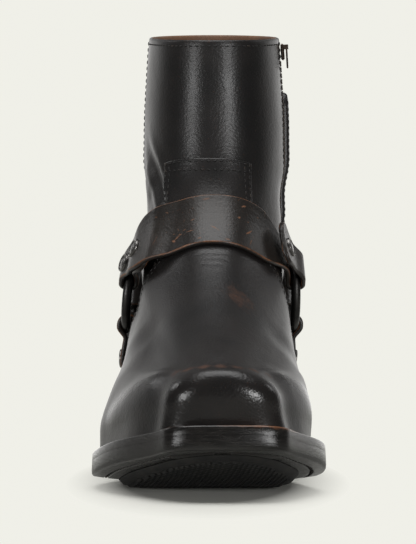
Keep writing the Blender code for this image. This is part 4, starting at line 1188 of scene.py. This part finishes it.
def strap_rubs(node, reach, over):
    """Scratches on a strap, from the table of its strokes."""
    rub = np.zeros(reach.shape)
    for where, down, angle, length, width, strength in STRAP_STROKES.get(node, ()):
        turn = math.radians(angle)
        forward = (reach - where) * math.cos(turn) + (over - down) * math.sin(turn)
        beside = (over - down) * math.cos(turn) - (reach - where) * math.sin(turn)
        fade = np.clip(1 - np.abs(forward) / (length / 2), 0.0, 1.0)
        rub = np.maximum(rub, strength * np.exp(-(beside / width)**2) * np.sqrt(fade))
    return rub


def down_strap_grid(plane, hand):
    """Middle points of the strap from the welt up to a ring, folded over it and turned down outside."""
    angle = math.radians(DOWN_ANGLE)
    down = np.array([math.cos(angle), math.sin(angle)])
    beside = np.array([-down[1], down[0]])
    turn = FOLD_RADIUS + STRAP_THICKNESS / 2
    apart = STRAP_THICKNESS + STRAP_LAYER_GAP
    fold_at = np.array([RING_ALONG, RING_UP]) + down * FOLD_REACH
    grid = []
    widths = []

    def inner_side(along, up, reach):
        near = 1 - reach / DOWN_LENGTH
        bow = DOWN_BOW * smooth_step(reach, 1.5, 8.0) * (1 - smooth_step(reach, 16.0, 30.0))
        lying = side_at(along, up, hand) + hand * (HEEL_STRAP_CLEAR + STRAP_THICKNESS / 2 + bow)
        centre = plane @ np.array([1.0, along, up])
        return lying + (centre - hand * turn - lying) * near

    def add_row(reach, depth, width):
        line = []
        for spot in strap_spread(DOWN_COLUMNS):
            along, up = fold_at + down * reach + beside * spot * width / 2
            line.append(points(inner_side(along, up, max(reach, 0.0)) + hand * depth, along, up))
        grid.append(line)
        widths.append(width)

    for reach in np.linspace(DOWN_LENGTH, 0.0, TAIL_ROWS):
        add_row(reach, 0.0, LOOP_WIDTH + (DOWN_WIDTH - LOOP_WIDTH) * reach / DOWN_LENGTH)
    for a in np.linspace(0.0, math.pi, FOLD_ROWS + 2)[1:-1]:
        add_row(-turn * math.sin(a), turn * (1 - math.cos(a)), LOOP_WIDTH)
    for reach in np.linspace(0.0, DOWN_TAB, TAIL_ROWS):
        opening = (2 * turn - apart) * (1 - smooth_step(reach, 1.5, 8.0))
        tip = np.clip((reach - DOWN_TAB + DOWN_TIP_ROUND) / DOWN_TIP_ROUND, 0.0, TIP_CLOSED)
        add_row(reach, apart + opening + 1.5 * (reach / DOWN_TAB), LOOP_WIDTH * math.sqrt(1 - tip**2))
    grid = np.array(grid)
    lowest = grid[0]
    floor = sole_up(lowest[:, 0], along_of(lowest)) + SOLE_STACK + 1.0
    lowest[:, 2] = np.maximum(lowest[:, 2], floor)
    return grid, np.array(widths)


def stud_spot(grid, row):
    """Place and facing of a stud on the outside of a strap at a row that may lie between two rows."""
    middle = grid.shape[1] // 2
    facing = np.cross(np.gradient(grid, axis=0), np.gradient(grid, axis=1))[:, middle]
    rows = np.arange(len(grid))
    place = between_points(row, rows, grid[:, middle])
    out = unit(between_points(row, rows, facing))
    if out[0] * place[0] < 0:
        out = -out
    return place + out * (STRAP_THICKNESS / 2), out


def make_stud():
    """Domed cap with a raised rim and a sunk ring, turned from its profile."""
    profile = (
        (4.8, -0.3), (4.8, 0.4), (4.65, 0.85), (4.3, 1.05), (3.9, 0.95), (3.6, 0.6), (3.2, 0.55),
        (2.5, 0.8), (1.7, 1.0), (0.8, 1.1), (0.0, 1.12),
    )
    sides = 36
    corners = []
    for radius, up in profile:
        for k in range(sides):
            turn = 2 * math.pi * k / sides
            corners.append((radius * math.cos(turn), radius * math.sin(turn), up))
    return helper_object("stud_cap", corners, squares(len(profile), sides))


def make_harness(leather, metal, cap_metal):
    """Rings, straps and studs."""
    planes = {hand: ring_plane(hand) for hand in HANDS.values()}
    for side, hand in HANDS.items():
        make_ring(f"ring_{side}_wire", f"ring_{side}", planes[hand], metal)
    instep = {
        "angle": INSTEP_ANGLE, "width": INSTEP_WIDTH, "clear": INSTEP_CLEAR, "rows": 320,
        "turn_back": (30.0, 29.0), "main_outside": True, "splay": 5.0, "belly": 3.0,
        "widens": ((4.0, 26.0), (8.0, 36.0)), "columns": 91,
    }
    heel = {
        "angle": HEEL_STRAP_ANGLE, "width": HEEL_STRAP_WIDTH, "clear": HEEL_STRAP_CLEAR, "rows": 200,
        "turn_back": (28.0, 28.0), "main_outside": False, "splay": 0.0, "belly": 0.0,
        "widens": ((8.0, 36.0), (8.0, 36.0)), "columns": 31,
    }
    spots = []
    first_row = TAIL_ROWS + FOLD_ROWS
    grid, widths = strap_grid(planes, instep)
    make_strap("strap_instep_leather", "strap_instep", grid, widths, leather)
    for share in (STUD_LOW_SHARE, STUD_HIGH_SHARE):
        spots.append(stud_spot(grid, first_row + share * (instep["rows"] - 1)))
    from_tip = SNAP_FROM_TIP / instep["turn_back"][1] * (TAIL_ROWS - 1)
    spots.append(stud_spot(grid, len(grid) - 1 - from_tip))
    grid, widths = strap_grid(planes, heel)
    make_strap("strap_heel_leather", "strap_heel", grid, widths, leather)
    from_tip = HEEL_STUD_FROM_TIP / heel["turn_back"][1] * (TAIL_ROWS - 1)
    spots.append(stud_spot(grid, from_tip))
    spots.append(stud_spot(grid, len(grid) - 1 - from_tip))
    from_tip = DOWN_STUD_FROM_TIP / DOWN_TAB * (TAIL_ROWS - 1)
    for side, hand in HANDS.items():
        grid, widths = down_strap_grid(planes[hand], hand)
        make_strap(f"strap_down_{side}_leather", f"strap_down_{side}", grid, widths, leather)
        spots.append(stud_spot(grid, len(grid) - 1 - from_tip))
    places, facing = (np.array(column) for column in zip(*spots))
    studs = on_spots("studs", places, facing, make_stud(), cap_metal)
    finish_piece(
        studs, [], "ring_metal", "stud_instep_low", "stud_instep_high", "stud_snap", "stud_heel_outer",
        "stud_heel_inner", "stud_down_outer", "stud_down_inner",
    )


def helper_object(name, corners, faces):
    """Small shape, in millimetres about its own origin, that is set many times on the boot."""
    data = bpy.data.meshes.new(name)
    data.from_pydata(np.asarray(corners) * MM, [], faces)
    clean_mesh(data, True, 40.0)
    return new_object(name, data)


def node(tree, kind, values=None, **settings):
    """Add a node; values fill its inputs, with a number or with another node's output."""
    made = tree.nodes.new(kind)
    for key, value in settings.items():
        setattr(made, key, value)
    for key, value in (values or {}).items():
        if isinstance(value, bpy.types.NodeSocket):
            tree.links.new(value, made.inputs[key])
        else:
            made.inputs[key].default_value = value
    return made


def new_tree(name, inputs):
    """Geometry tree with a mesh going in and out, and named inputs for its sizes."""
    tree = bpy.data.node_groups.new(name, "GeometryNodeTree")
    tree.interface.new_socket("Geometry", in_out="INPUT", socket_type="NodeSocketGeometry")
    for label, kind in inputs.items():
        tree.interface.new_socket(label, in_out="INPUT", socket_type=kind)
    tree.interface.new_socket("Geometry", in_out="OUTPUT", socket_type="NodeSocketGeometry")
    return tree, tree.nodes.new("NodeGroupInput"), tree.nodes.new("NodeGroupOutput")


def facing_turn(tree, along):
    """Rotation that turns a small shape's Z to the facing of its place, and its X to a direction."""
    facing = node(tree, "GeometryNodeInputNamedAttribute", {"Name": "facing"}, data_type="FLOAT_VECTOR")
    align = "FunctionNodeAlignRotationToVector"
    upright = node(tree, align, {"Vector": facing.outputs["Attribute"]}, axis="Z")
    values = {"Rotation": upright.outputs["Rotation"], "Vector": along}
    return node(tree, align, values, axis="X", pivot_axis="Z").outputs["Rotation"]


def row_tree(shape, material):
    """Tree that sets a thread stitch or a block along a path, one for each pitch."""
    sizes = {"Pitch": "NodeSocketFloat", "Size": "NodeSocketVector"}
    tree, given, made = new_tree("row of " + shape, sizes)
    path = node(tree, "GeometryNodeMeshToCurve", {"Mesh": given.outputs["Geometry"]})
    values = {"Curve": path.outputs["Curve"], "Length": given.outputs["Pitch"]}
    steps = node(tree, "GeometryNodeResampleCurve", values, mode="LENGTH")
    if shape == "thread":
        form = node(tree, "GeometryNodeMeshUVSphere", {"Segments": 8, "Rings": 6, "Radius": 0.5})
        lying = (0.0, math.pi / 2, 0.0)
    else:
        form = node(tree, "GeometryNodeMeshCube", {"Size": (1.0, 1.0, 1.0)})
        lying = (0.0, 0.0, 0.0)
    turned = node(tree, "GeometryNodeTransform", {"Geometry": form.outputs["Mesh"], "Rotation": lying})
    values = {"Geometry": turned.outputs["Geometry"], "Scale": given.outputs["Size"]}
    sized = node(tree, "GeometryNodeTransform", values)
    spin = facing_turn(tree, node(tree, "GeometryNodeInputTangent").outputs["Tangent"])
    values = {"Points": steps.outputs["Curve"], "Instance": sized.outputs["Geometry"], "Rotation": spin}
    placed = node(tree, "GeometryNodeInstanceOnPoints", values)
    return end_tree(tree, placed, made, material, shape == "thread")


def spot_tree(form, material):
    """Tree that sets a small shape on every point, turned to the point's facing."""
    tree, given, made = new_tree("spots of " + form.name, {"Shape": "NodeSocketObject"})
    shape = node(tree, "GeometryNodeObjectInfo", {"Object": given.outputs["Shape"], "As Instance": True})
    spin = facing_turn(tree, (1.0, 0.0, 0.0))
    values = {"Points": given.outputs["Geometry"], "Instance": shape.outputs["Geometry"], "Rotation": spin}
    placed = node(tree, "GeometryNodeInstanceOnPoints", values)
    return end_tree(tree, placed, made, material, None)


def end_tree(tree, placed, made, material, smooth):
    """Make the set shapes real and give them their material."""
    shaped = node(tree, "GeometryNodeRealizeInstances", {"Geometry": placed.outputs["Instances"]})
    if smooth is not None:
        values = {"Geometry": shaped.outputs["Geometry"], "Shade Smooth": smooth}
        shaped = node(tree, "GeometryNodeSetShadeSmooth", values)
    values = {"Geometry": shaped.outputs["Geometry"], "Material": material}
    painted = node(tree, "GeometryNodeSetMaterial", values)
    tree.links.new(painted.outputs["Geometry"], made.inputs["Geometry"])
    return tree


def run_tree(name, source, tree, values):
    """Run a tree on a helper object and keep the result as a plain mesh."""
    modifier = source.modifiers.new("set", "NODES")
    modifier.node_group = tree
    for socket in tree.interface.items_tree:
        if socket.in_out == "INPUT" and socket.name in values:
            modifier[socket.identifier] = values[socket.name]
    graph = bpy.context.evaluated_depsgraph_get()
    data = bpy.data.meshes.new_from_object(source.evaluated_get(graph))
    data.name = name
    bpy.data.objects.remove(source, do_unlink=True)
    return new_object(name, data)


def source_mesh(name, places, facing, edges):
    """Points in millimetres with their facing, joined by edges where they are paths."""
    data = bpy.data.meshes.new(name)
    data.from_pydata((places + SHIFT) * MM, edges, [])
    attribute = data.attributes.new("facing", "FLOAT_VECTOR", "POINT")
    attribute.data.foreach_set("vector", np.asarray(facing, np.float32).ravel())
    return new_object(name + "_source", data)


def along_paths(name, lines, material, shape, pitch, size):
    """Stitches or blocks along lines, each line a pair of places and facings."""
    places = np.concatenate([line[0] for line in lines])
    facing = np.concatenate([line[1] for line in lines])
    edges = []
    first = 0
    for line, _ in lines:
        edges += [(first + i, first + i + 1) for i in range(len(line) - 1)]
        first += len(line)
    source = source_mesh(name, places, facing, edges)
    sizes = tuple(value * MM for value in size)
    return run_tree(name, source, row_tree(shape, material), {"Pitch": pitch * MM, "Size": sizes})


def on_spots(name, places, facing, form, material):
    """Copies of a small shape on places, turned to their facing."""
    source = source_mesh(name, places, facing, [])
    item = run_tree(name, source, spot_tree(form, material), {"Shape": form})
    bpy.data.objects.remove(form, do_unlink=True)
    return item


def face_line(heights, turns, distance):
    """Stitch line on the upper: its places and facings."""
    heights, turns = np.broadcast_arrays(heights, turns)
    return on_face(heights, turns, distance), unit(look_up(worn_normals, heights, turns))


def vamp_rows():
    """Double rows along the vamp's back edges and across the top of its tongue."""
    lines = []
    outside = VAMP_CLEAR + VAMP_THICKNESS
    for inset in (2.0, 4.8):
        for hand in (-1, 1):
            spots = []
            for height in np.linspace(0.03, VAMP_TO - inset / FRONT_LENGTH, 140):
                start, stop = vamp_ends(height)
                reach = (1 - start) if hand < 0 else (stop - 1)
                share = hand * (1 - inset * turn_per_length(height, hand) / reach)
                spots.append(vamp_spot(height, np.array(share)))
            heights, turns = np.array(spots, float).T
            lines.append(face_line(heights, turns, outside))
    for inset in (2.0, 6.5):
        height = VAMP_TO - inset / FRONT_LENGTH
        heights, turns = vamp_spot(height, np.linspace(-0.93, 0.93, 90))
        lines.append(face_line(heights, turns, outside))
    return lines


def shaft_rows():
    """Rows round the collar, along the zip, up the outer side and up the back."""
    top = 1 - 2.2 / FRONT_LENGTH
    front, back = zip_turns(top, [ZIP_SLOT / 2 + 2.5, -ZIP_SLOT / 2 - 2.5])
    lines = [face_line(top, np.linspace(front, back - 2.0, 500), LAYER_GAP)]
    for reach in (ZIP_SLOT / 2 + 2.2, -ZIP_SLOT / 2 - 2.2):
        low = ZIP_FROM if reach > 0 else GUARD_TO + 0.01
        lines.append(zip_line(reach, LAYER_GAP, low, top))
    heights = np.linspace(0.46, top, 160)
    for reach in (-SIDE_SEAM_HALF, SIDE_SEAM_HALF):
        turns = [turn_at_along(h, SIDE_SEAM_ALONG, -1) + reach * turn_per_length(h, -1) for h in heights]
        lines.append(face_line(heights, np.array(turns), LAYER_GAP))
    heights = np.linspace(0.36, top, 160)
    for reach in (-2.4, 2.4):
        turns = np.array([reach * turn_per_length(h, -1) for h in heights])
        lines.append(face_line(heights, turns, LAYER_GAP))
    return lines


def guard_rows():
    """Row just inside the edge of the zip guard."""
    inset = 2.2
    low = GUARD_FROM + inset / FRONT_LENGTH
    high = GUARD_TO - inset / FRONT_LENGTH
    start = GUARD_START + inset
    stop = GUARD_START + GUARD_WIDTH - inset
    face = GUARD_CLEAR + GUARD_THICKNESS
    return [zip_line(-start, face, low, high - 0.012), zip_line(-stop, face, low, high - 0.012)]


def sole_row(inset, lift, facing_up):
    """Row of stitches round the sole's outline."""
    loop = sole_loop(inset, lift, 260)
    loop = np.concatenate([loop, loop[:1]])
    facing = np.tile([0.0, 0.0, 1.0 if facing_up else -1.0], (len(loop), 1))
    return loop, facing


def make_stitches(thread):
    """All sewn rows of the boot."""
    upper = vamp_rows() + shaft_rows() + guard_rows()
    item = along_paths("upper_stitches", upper, thread, "thread", STITCH_PITCH, STITCH_SIZE)
    finish_piece(item, [], "upper_leather")
    sole = [sole_row(4.6, SOLE_STACK, True), sole_row(6.9, 0.45, False)]
    item = along_paths("sole_stitches", sole, thread, "thread", SOLE_STITCH_PITCH, SOLE_STITCH_SIZE)
    finish_piece(item, [], "sole_leather")


def wear_marks(item):
    """Store how far the black has rubbed off the upper's points, and the shine of its toe and shoulders."""
    places = places_of(item)
    rub = np.zeros(len(places))
    for side, along, up, radius, strength in RUBS:
        away = np.linalg.norm(places - points(side, along, up), axis=-1) / radius
        rub = np.maximum(rub, strength * np.exp(-away**2))
    set_attribute(item, "rub", rub)
    shine = smooth_step(along_of(places), 284.0, 299.0) * (1 - 0.8 * smooth_step(places[:, 2], 53.0, 59.0))
    for shoulder in (OUTER_SHOULDER, INNER_SHOULDER):
        distance, where = near_line(places, line_on_face(face_tree, shoulder))
        shine = np.maximum(shine, smooth_step(where, 0.05, 0.3) * np.exp(-(distance / 6.0)**2))
    set_attribute(item, "polish", shine)


def sole_marks(item):
    """Store where the sole's top edge has worn brown, most on the inner half of the toe."""
    places = places_of(item)
    along = along_of(places)
    top = sole_up(places[:, 0], along) + SOLE_STACK
    near_top = np.exp(-((places[:, 2] - top) / 1.3)**2)
    toe = smooth_step(along, 278.0, 300.0)
    sideways = 0.45 + 0.55 * smooth_step(places[:, 0], 2.0, 26.0)
    set_attribute(item, "rub", near_top * toe * sideways)


def new_material(name, **sockets):
    """Material with its shader's plain values set."""
    material = bpy.data.materials.new(name)
    material.use_nodes = True
    tree = material.node_tree
    shader = tree.nodes["Principled BSDF"]
    for key, value in sockets.items():
        shader.inputs[key.replace("_", " ")].default_value = value
    coords = tree.nodes.new("ShaderNodeTexCoord").outputs["Object"]
    return material, tree, shader, coords


def noise(tree, coords, scale, detail=4.0, roughness=0.55):
    made = node(tree, "ShaderNodeTexNoise", {
        "Vector": coords, "Scale": scale, "Detail": detail, "Roughness": roughness,
    })
    return made.outputs["Fac"]


def between(tree, value, low, high, to_low=0.0, to_high=1.0):
    """Value carried from one range to another and held at its ends."""
    made = node(tree, "ShaderNodeMapRange", {
        "Value": value, "From Min": low, "From Max": high, "To Min": to_low, "To Max": to_high,
    })
    return made.outputs["Result"]


def sums(tree, operation, first, second):
    return node(tree, "ShaderNodeMath", {0: first, 1: second}, operation=operation).outputs[0]


def mixed(tree, factor, first, second):
    """Colour between two colours."""
    made = node(tree, "ShaderNodeMix", {0: factor, 6: first, 7: second}, data_type="RGBA")
    return made.outputs[2]


def attribute(tree, name):
    return node(tree, "ShaderNodeAttribute", attribute_name=name).outputs["Fac"]


def bumps(tree, layers):
    """Chain of bumps, each a height, a strength and a depth in metres; gives the final normal."""
    normal = None
    for height, strength, depth in layers:
        values = {"Height": height, "Strength": strength, "Distance": depth}
        if normal is not None:
            values["Normal"] = normal
        normal = node(tree, "ShaderNodeBump", values).outputs["Normal"]
    return normal


def colour(red, green, blue):
    return (red, green, blue, 1.0)


def wire(tree, shader, **sockets):
    """Lead outputs into a shader's inputs."""
    for key, value in sockets.items():
        tree.links.new(value, shader.inputs[key.replace("_", " ")])


def worn_leather(name, black, warm, brown, gloss, polish):
    """Black leather with a fine grain; the black wears to brown where points say it is rubbed or cut."""
    material, tree, shader, coords = new_material(name, Specular_IOR_Level=0.5)
    patches = noise(tree, coords, 26.0, 3.0)
    breakup = noise(tree, coords, 320.0, 6.0, 0.7)
    fleck = noise(tree, coords, 900.0, 4.0, 0.6)
    grain = node(tree, "ShaderNodeTexVoronoi", {"Vector": coords, "Scale": 900.0}, feature="SMOOTH_F1")
    wrinkle = noise(tree, coords, 150.0, 5.0, 0.6)
    rub = sums(tree, "ADD", attribute(tree, "rub"), sums(tree, "MULTIPLY", breakup, 0.9))
    rubbed = between(tree, rub, 0.78, 1.15)
    stretch = between(tree, noise(tree, coords, 75.0, 4.0, 0.6), 0.38, 0.62, 0.45, 1.0)
    worn_edge = sums(tree, "MULTIPLY", attribute(tree, "cut_edge"), stretch)
    bare = between(tree, sums(tree, "ADD", worn_edge, sums(tree, "MULTIPLY", breakup, 0.7)), 0.62, 1.3)
    ground = mixed(tree, between(tree, patches, 0.35, 0.7), black, warm)
    specked = mixed(tree, between(tree, fleck, 0.62, 0.75, 0.0, 0.35), ground, brown)
    faded = mixed(tree, sums(tree, "MULTIPLY", rubbed, 0.75), specked, brown)
    plain = between(tree, patches, 0.3, 0.7, gloss, gloss + 0.08)
    dull = sums(tree, "ADD", plain, sums(tree, "MULTIPLY", rubbed, 0.15))
    rough = sums(tree, "SUBTRACT", dull, sums(tree, "MULTIPLY", attribute(tree, "polish"), polish))
    layers = (
        (wrinkle, 0.22, 0.0006),
        (grain.outputs["Distance"], 0.26, 0.0003),
        (fleck, 0.25, 0.00015),
    )
    shade = mixed(tree, bare, faded, brown)
    wire(tree, shader, Base_Color=shade, Roughness=rough, Normal=bumps(tree, layers))
    return material


def dressed_edge(name):
    """Black edge dressing on sole leather, brown where it has worn through."""
    material, tree, shader, coords = new_material(name, Specular_IOR_Level=0.5)
    breakup = noise(tree, coords, 240.0, 6.0, 0.7)
    stretched = node(tree, "ShaderNodeMapping", {"Vector": coords, "Scale": (1.0, 1.0, 9.0)})
    layers = noise(tree, stretched.outputs["Vector"], 130.0, 5.0, 0.65)
    rub = sums(tree, "ADD", attribute(tree, "rub"), sums(tree, "MULTIPLY", breakup, 0.8))
    worn = between(tree, rub, 0.8, 1.4)
    black = colour(0.010, 0.0095, 0.009)
    grey = colour(0.024, 0.021, 0.019)
    brown = colour(0.20, 0.085, 0.04)
    shade = mixed(tree, worn, mixed(tree, between(tree, layers, 0.4, 0.75), black, grey), brown)
    rough = between(tree, layers, 0.3, 0.8, 0.15, 0.3)
    normal = bumps(tree, ((layers, 0.4, 0.0004), (breakup, 0.3, 0.0002)))
    wire(tree, shader, Base_Color=shade, Roughness=rough, Normal=normal)
    return material


def tan_lining(name):
    """Undyed lining leather, a little darker in patches."""
    material, tree, shader, coords = new_material(name, Roughness=0.62)
    patches = noise(tree, coords, 45.0, 5.0)
    tan = colour(0.26, 0.14, 0.08)
    brown = colour(0.16, 0.08, 0.045)
    shade = mixed(tree, between(tree, patches, 0.35, 0.7), tan, brown)
    grain = node(tree, "ShaderNodeTexVoronoi", {"Vector": coords, "Scale": 900.0}, feature="SMOOTH_F1")
    wire(tree, shader, Base_Color=shade, Normal=bumps(tree, ((grain.outputs["Distance"], 0.3, 0.0002),)))
    return material


def matte_rubber(name):
    """Black rubber with a dusty bloom."""
    material, tree, shader, coords = new_material(name, Specular_IOR_Level=0.4)
    dust = noise(tree, coords, 90.0, 6.0, 0.7)
    black = colour(0.012, 0.012, 0.012)
    dusty = colour(0.04, 0.037, 0.033)
    shade = mixed(tree, between(tree, dust, 0.45, 0.8), black, dusty)
    rough = between(tree, dust, 0.3, 0.8, 0.55, 0.75)
    fine = noise(tree, coords, 1400.0, 3.0)
    wire(tree, shader, Base_Color=shade, Roughness=rough, Normal=bumps(tree, ((fine, 0.3, 0.0002),)))
    return material


def gunmetal(name, tint, roughness):
    """Dark plated metal with fine scratches and slight tarnish."""
    material, tree, shader, coords = new_material(name, Metallic=1.0)
    tarnish = noise(tree, coords, 160.0, 5.0, 0.65)
    dark = tuple(0.55 * value for value in tint)
    shade = mixed(tree, between(tree, tarnish, 0.4, 0.7), colour(*tint), colour(*dark))
    rough = between(tree, tarnish, 0.35, 0.75, roughness, roughness + 0.2)
    fine = noise(tree, coords, 1800.0, 2.0)
    wire(tree, shader, Base_Color=shade, Roughness=rough, Normal=bumps(tree, ((fine, 0.12, 0.0001),)))
    return material


def woven_tape(name):
    """Black cotton tape with a visible weave."""
    material, tree, shader, coords = new_material(name, Roughness=0.85)
    waves = {"Vector": coords, "Scale": 420.0}
    over = node(tree, "ShaderNodeTexWave", waves, bands_direction="Z").outputs["Fac"]
    under = node(tree, "ShaderNodeTexWave", waves, bands_direction="Y").outputs["Fac"]
    weave = sums(tree, "MULTIPLY", over, under)
    shade = mixed(tree, weave, colour(0.008, 0.008, 0.008), colour(0.03, 0.029, 0.028))
    wire(tree, shader, Base_Color=shade, Normal=bumps(tree, ((weave, 0.5, 0.0003),)))
    return material


def waxed_thread(name):
    """Black waxed thread, dusty brown in places."""
    material, tree, shader, coords = new_material(name, Roughness=0.55)
    dust = noise(tree, coords, 200.0, 4.0)
    black = colour(0.010, 0.009, 0.009)
    dusty = colour(0.05, 0.033, 0.022)
    wire(tree, shader, Base_Color=mixed(tree, between(tree, dust, 0.5, 0.75), black, dusty))
    return material


def paint_solid(name, material):
    """Give a solid that stays in sight its finished material."""
    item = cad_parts[name]
    item.data.materials.clear()
    item.data.materials.append(material)


def make_floor():
    """Pale floor: lit by the lamps near the boot. Farther out it glows: to the camera it is as bright as
    the backdrop, and onto the boot it shines as a painted glow, dim in front and brighter behind.
    """
    data = bpy.data.meshes.new("floor")
    reach = 0.75
    corners = [(-reach, -reach, 0), (reach, -reach, 0), (reach, reach, 0), (-reach, reach, 0)]
    data.from_pydata(corners, [], [(0, 1, 2, 3)])
    floor = new_object("floor", data)
    material = bpy.data.materials.new("pale floor")
    material.use_nodes = True
    tree = material.node_tree
    tree.nodes.clear()
    coords = tree.nodes.new("ShaderNodeTexCoord").outputs["Object"]
    half_wide = 0.052
    half_long = 0.18
    scale = (1 / half_wide, 1 / half_long, 1.0)
    spread = node(tree, "ShaderNodeMapping", {"Vector": coords, "Scale": scale})
    away = node(tree, "ShaderNodeVectorMath", {0: spread.outputs["Vector"]}, operation="LENGTH")
    far = between(tree, away.outputs["Value"], 0.8, 1.35)
    lit = node(tree, "ShaderNodeBsdfDiffuse", {"Color": colour(0.86, 0.86, 0.80)})
    path = tree.nodes.new("ShaderNodeLightPath").outputs["Is Camera Ray"]
    parts = node(tree, "ShaderNodeSeparateXYZ", {"Vector": coords})
    # Painted glow that the floor casts onto the boot, dim in front and brighter behind; camera rays see it
    # at the backdrop's full brightness
    behind = between(tree, parts.outputs["Y"], 0.0, 0.5, 0.3, 1.1)
    bright = between(tree, path, 0.0, 1.0, behind, 1.0)
    plain = node(tree, "ShaderNodeEmission", {"Color": colour(*BACKDROP), "Strength": bright})
    blend = node(tree, "ShaderNodeMixShader", {0: far, 1: lit.outputs[0], 2: plain.outputs[0]})
    out = tree.nodes.new("ShaderNodeOutputMaterial")
    tree.links.new(blend.outputs[0], out.inputs["Surface"])
    data.materials.append(material)


def make_world():
    """Backdrop as the camera sees it, and a softer glow on the boot, brightest from behind."""
    world = bpy.data.worlds.new("studio")
    bpy.context.scene.world = world
    world.use_nodes = True
    tree = world.node_tree
    tree.nodes.clear()
    direction = tree.nodes.new("ShaderNodeTexCoord").outputs["Generated"]
    parts = node(tree, "ShaderNodeSeparateXYZ", {"Vector": direction})
    share = sums(tree, "POWER", between(tree, parts.outputs["Y"], 0.45, 1.0), 2.0)
    low_down = between(tree, parts.outputs["Z"], 0.12, 0.34, 1.0, 0.16)
    behind = between(tree, sums(tree, "MULTIPLY", share, low_down), 0.0, 1.0, 0.05, 1.7)
    glow = node(tree, "ShaderNodeBackground", {"Color": colour(1.0, 0.99, 0.97), "Strength": behind})
    seen = node(tree, "ShaderNodeBackground", {"Color": colour(*BACKDROP), "Strength": 1.0})
    path = tree.nodes.new("ShaderNodeLightPath").outputs["Is Camera Ray"]
    blend = node(tree, "ShaderNodeMixShader", {0: path, 1: glow.outputs[0], 2: seen.outputs[0]})
    out = tree.nodes.new("ShaderNodeOutputWorld")
    tree.links.new(blend.outputs[0], out.inputs["Surface"])


def softbox(name, place, target, wide, tall, power):
    """Rectangular studio light aimed at a point."""
    data = bpy.data.lights.new(name, "AREA")
    data.shape = "RECTANGLE"
    data.size = wide
    data.size_y = tall
    data.energy = power
    lamp = new_object(name, data)
    lamp.location = place
    lamp.rotation_euler = (Vector(target) - Vector(place)).to_track_quat("-Z", "Y").to_euler()


def make_camera():
    """Camera in front of the toe at the photo's height and angle."""
    data = bpy.data.cameras.new("camera")
    data.lens = CAMERA_LENS
    data.sensor_width = 36.0
    data.clip_start = 0.05
    data.clip_end = 50.0
    camera = new_object("camera", data)
    place = points(0.0, CAMERA_ALONG + CAMERA_DISTANCE, CAMERA_UP) + SHIFT
    camera.location = place * MM
    camera.rotation_euler = (math.radians(90 - CAMERA_TILT), 0.0, 0.0)
    bpy.context.scene.camera = camera


def make_studio():
    make_floor()
    make_world()
    middle = (0.0, -0.03, 0.11)
    softbox("left softbox", (-1.3, -1.2, 0.23), middle, 0.72, 0.46, 8.0)
    softbox("right softbox", (0.85, -1.55, 0.23), middle, 0.58, 0.46, 9.8)
    softbox("top softbox", (-0.05, -0.2, 1.55), (-0.05, -0.2, 0.0), 1.35, 1.3, 17.5)
    softbox("back left softbox", (-1.19, 0.83, 0.9), middle, 0.4, 0.4, 1.2)
    softbox("back right softbox", (1.19, 0.83, 0.9), middle, 0.4, 0.4, 0.7)
    bpy.context.scene.view_settings.view_transform = "Standard"


def make_boot():
    black = worn_leather("upper leather", colour(0.012, 0.0115, 0.0115), colour(0.021, 0.018, 0.017),
                         colour(0.10, 0.042, 0.022), 0.34, 0.16)
    strap = worn_leather("strap leather", colour(0.014, 0.0128, 0.012), colour(0.024, 0.019, 0.0155),
                         colour(0.24, 0.105, 0.05), 0.32, 0.0)
    lining = tan_lining("lining leather")
    edge = dressed_edge("sole edge")
    black_rubber = matte_rubber("black rubber")
    ring_metal = gunmetal("ring metal", (0.07, 0.068, 0.066), 0.34)
    cap_metal = gunmetal("stud metal", (0.26, 0.25, 0.24), 0.24)
    zip_metal = gunmetal("zip metal", (0.13, 0.10, 0.078), 0.34)
    make_outsole(edge)
    make_welt(edge)
    make_insole(lining)
    make_tread(black_rubber)
    make_heel(edge, black_rubber)
    make_upper(black, lining)
    make_vamp(black)
    make_zip_guard(black)
    make_zip(woven_tape("zip cloth"), zip_metal)
    paint_solid("zip_slider", zip_metal)
    paint_solid("zip_pull", zip_metal)
    make_harness(strap, ring_metal, cap_metal)
    make_stitches(waxed_thread("thread"))


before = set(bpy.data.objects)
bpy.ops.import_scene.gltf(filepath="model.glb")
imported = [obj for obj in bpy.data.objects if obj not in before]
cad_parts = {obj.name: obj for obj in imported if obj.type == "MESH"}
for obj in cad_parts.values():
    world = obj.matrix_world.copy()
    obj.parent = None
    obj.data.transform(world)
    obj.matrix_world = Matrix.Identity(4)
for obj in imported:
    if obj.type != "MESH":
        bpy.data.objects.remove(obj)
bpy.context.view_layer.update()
make_boot()
make_studio()
make_camera()
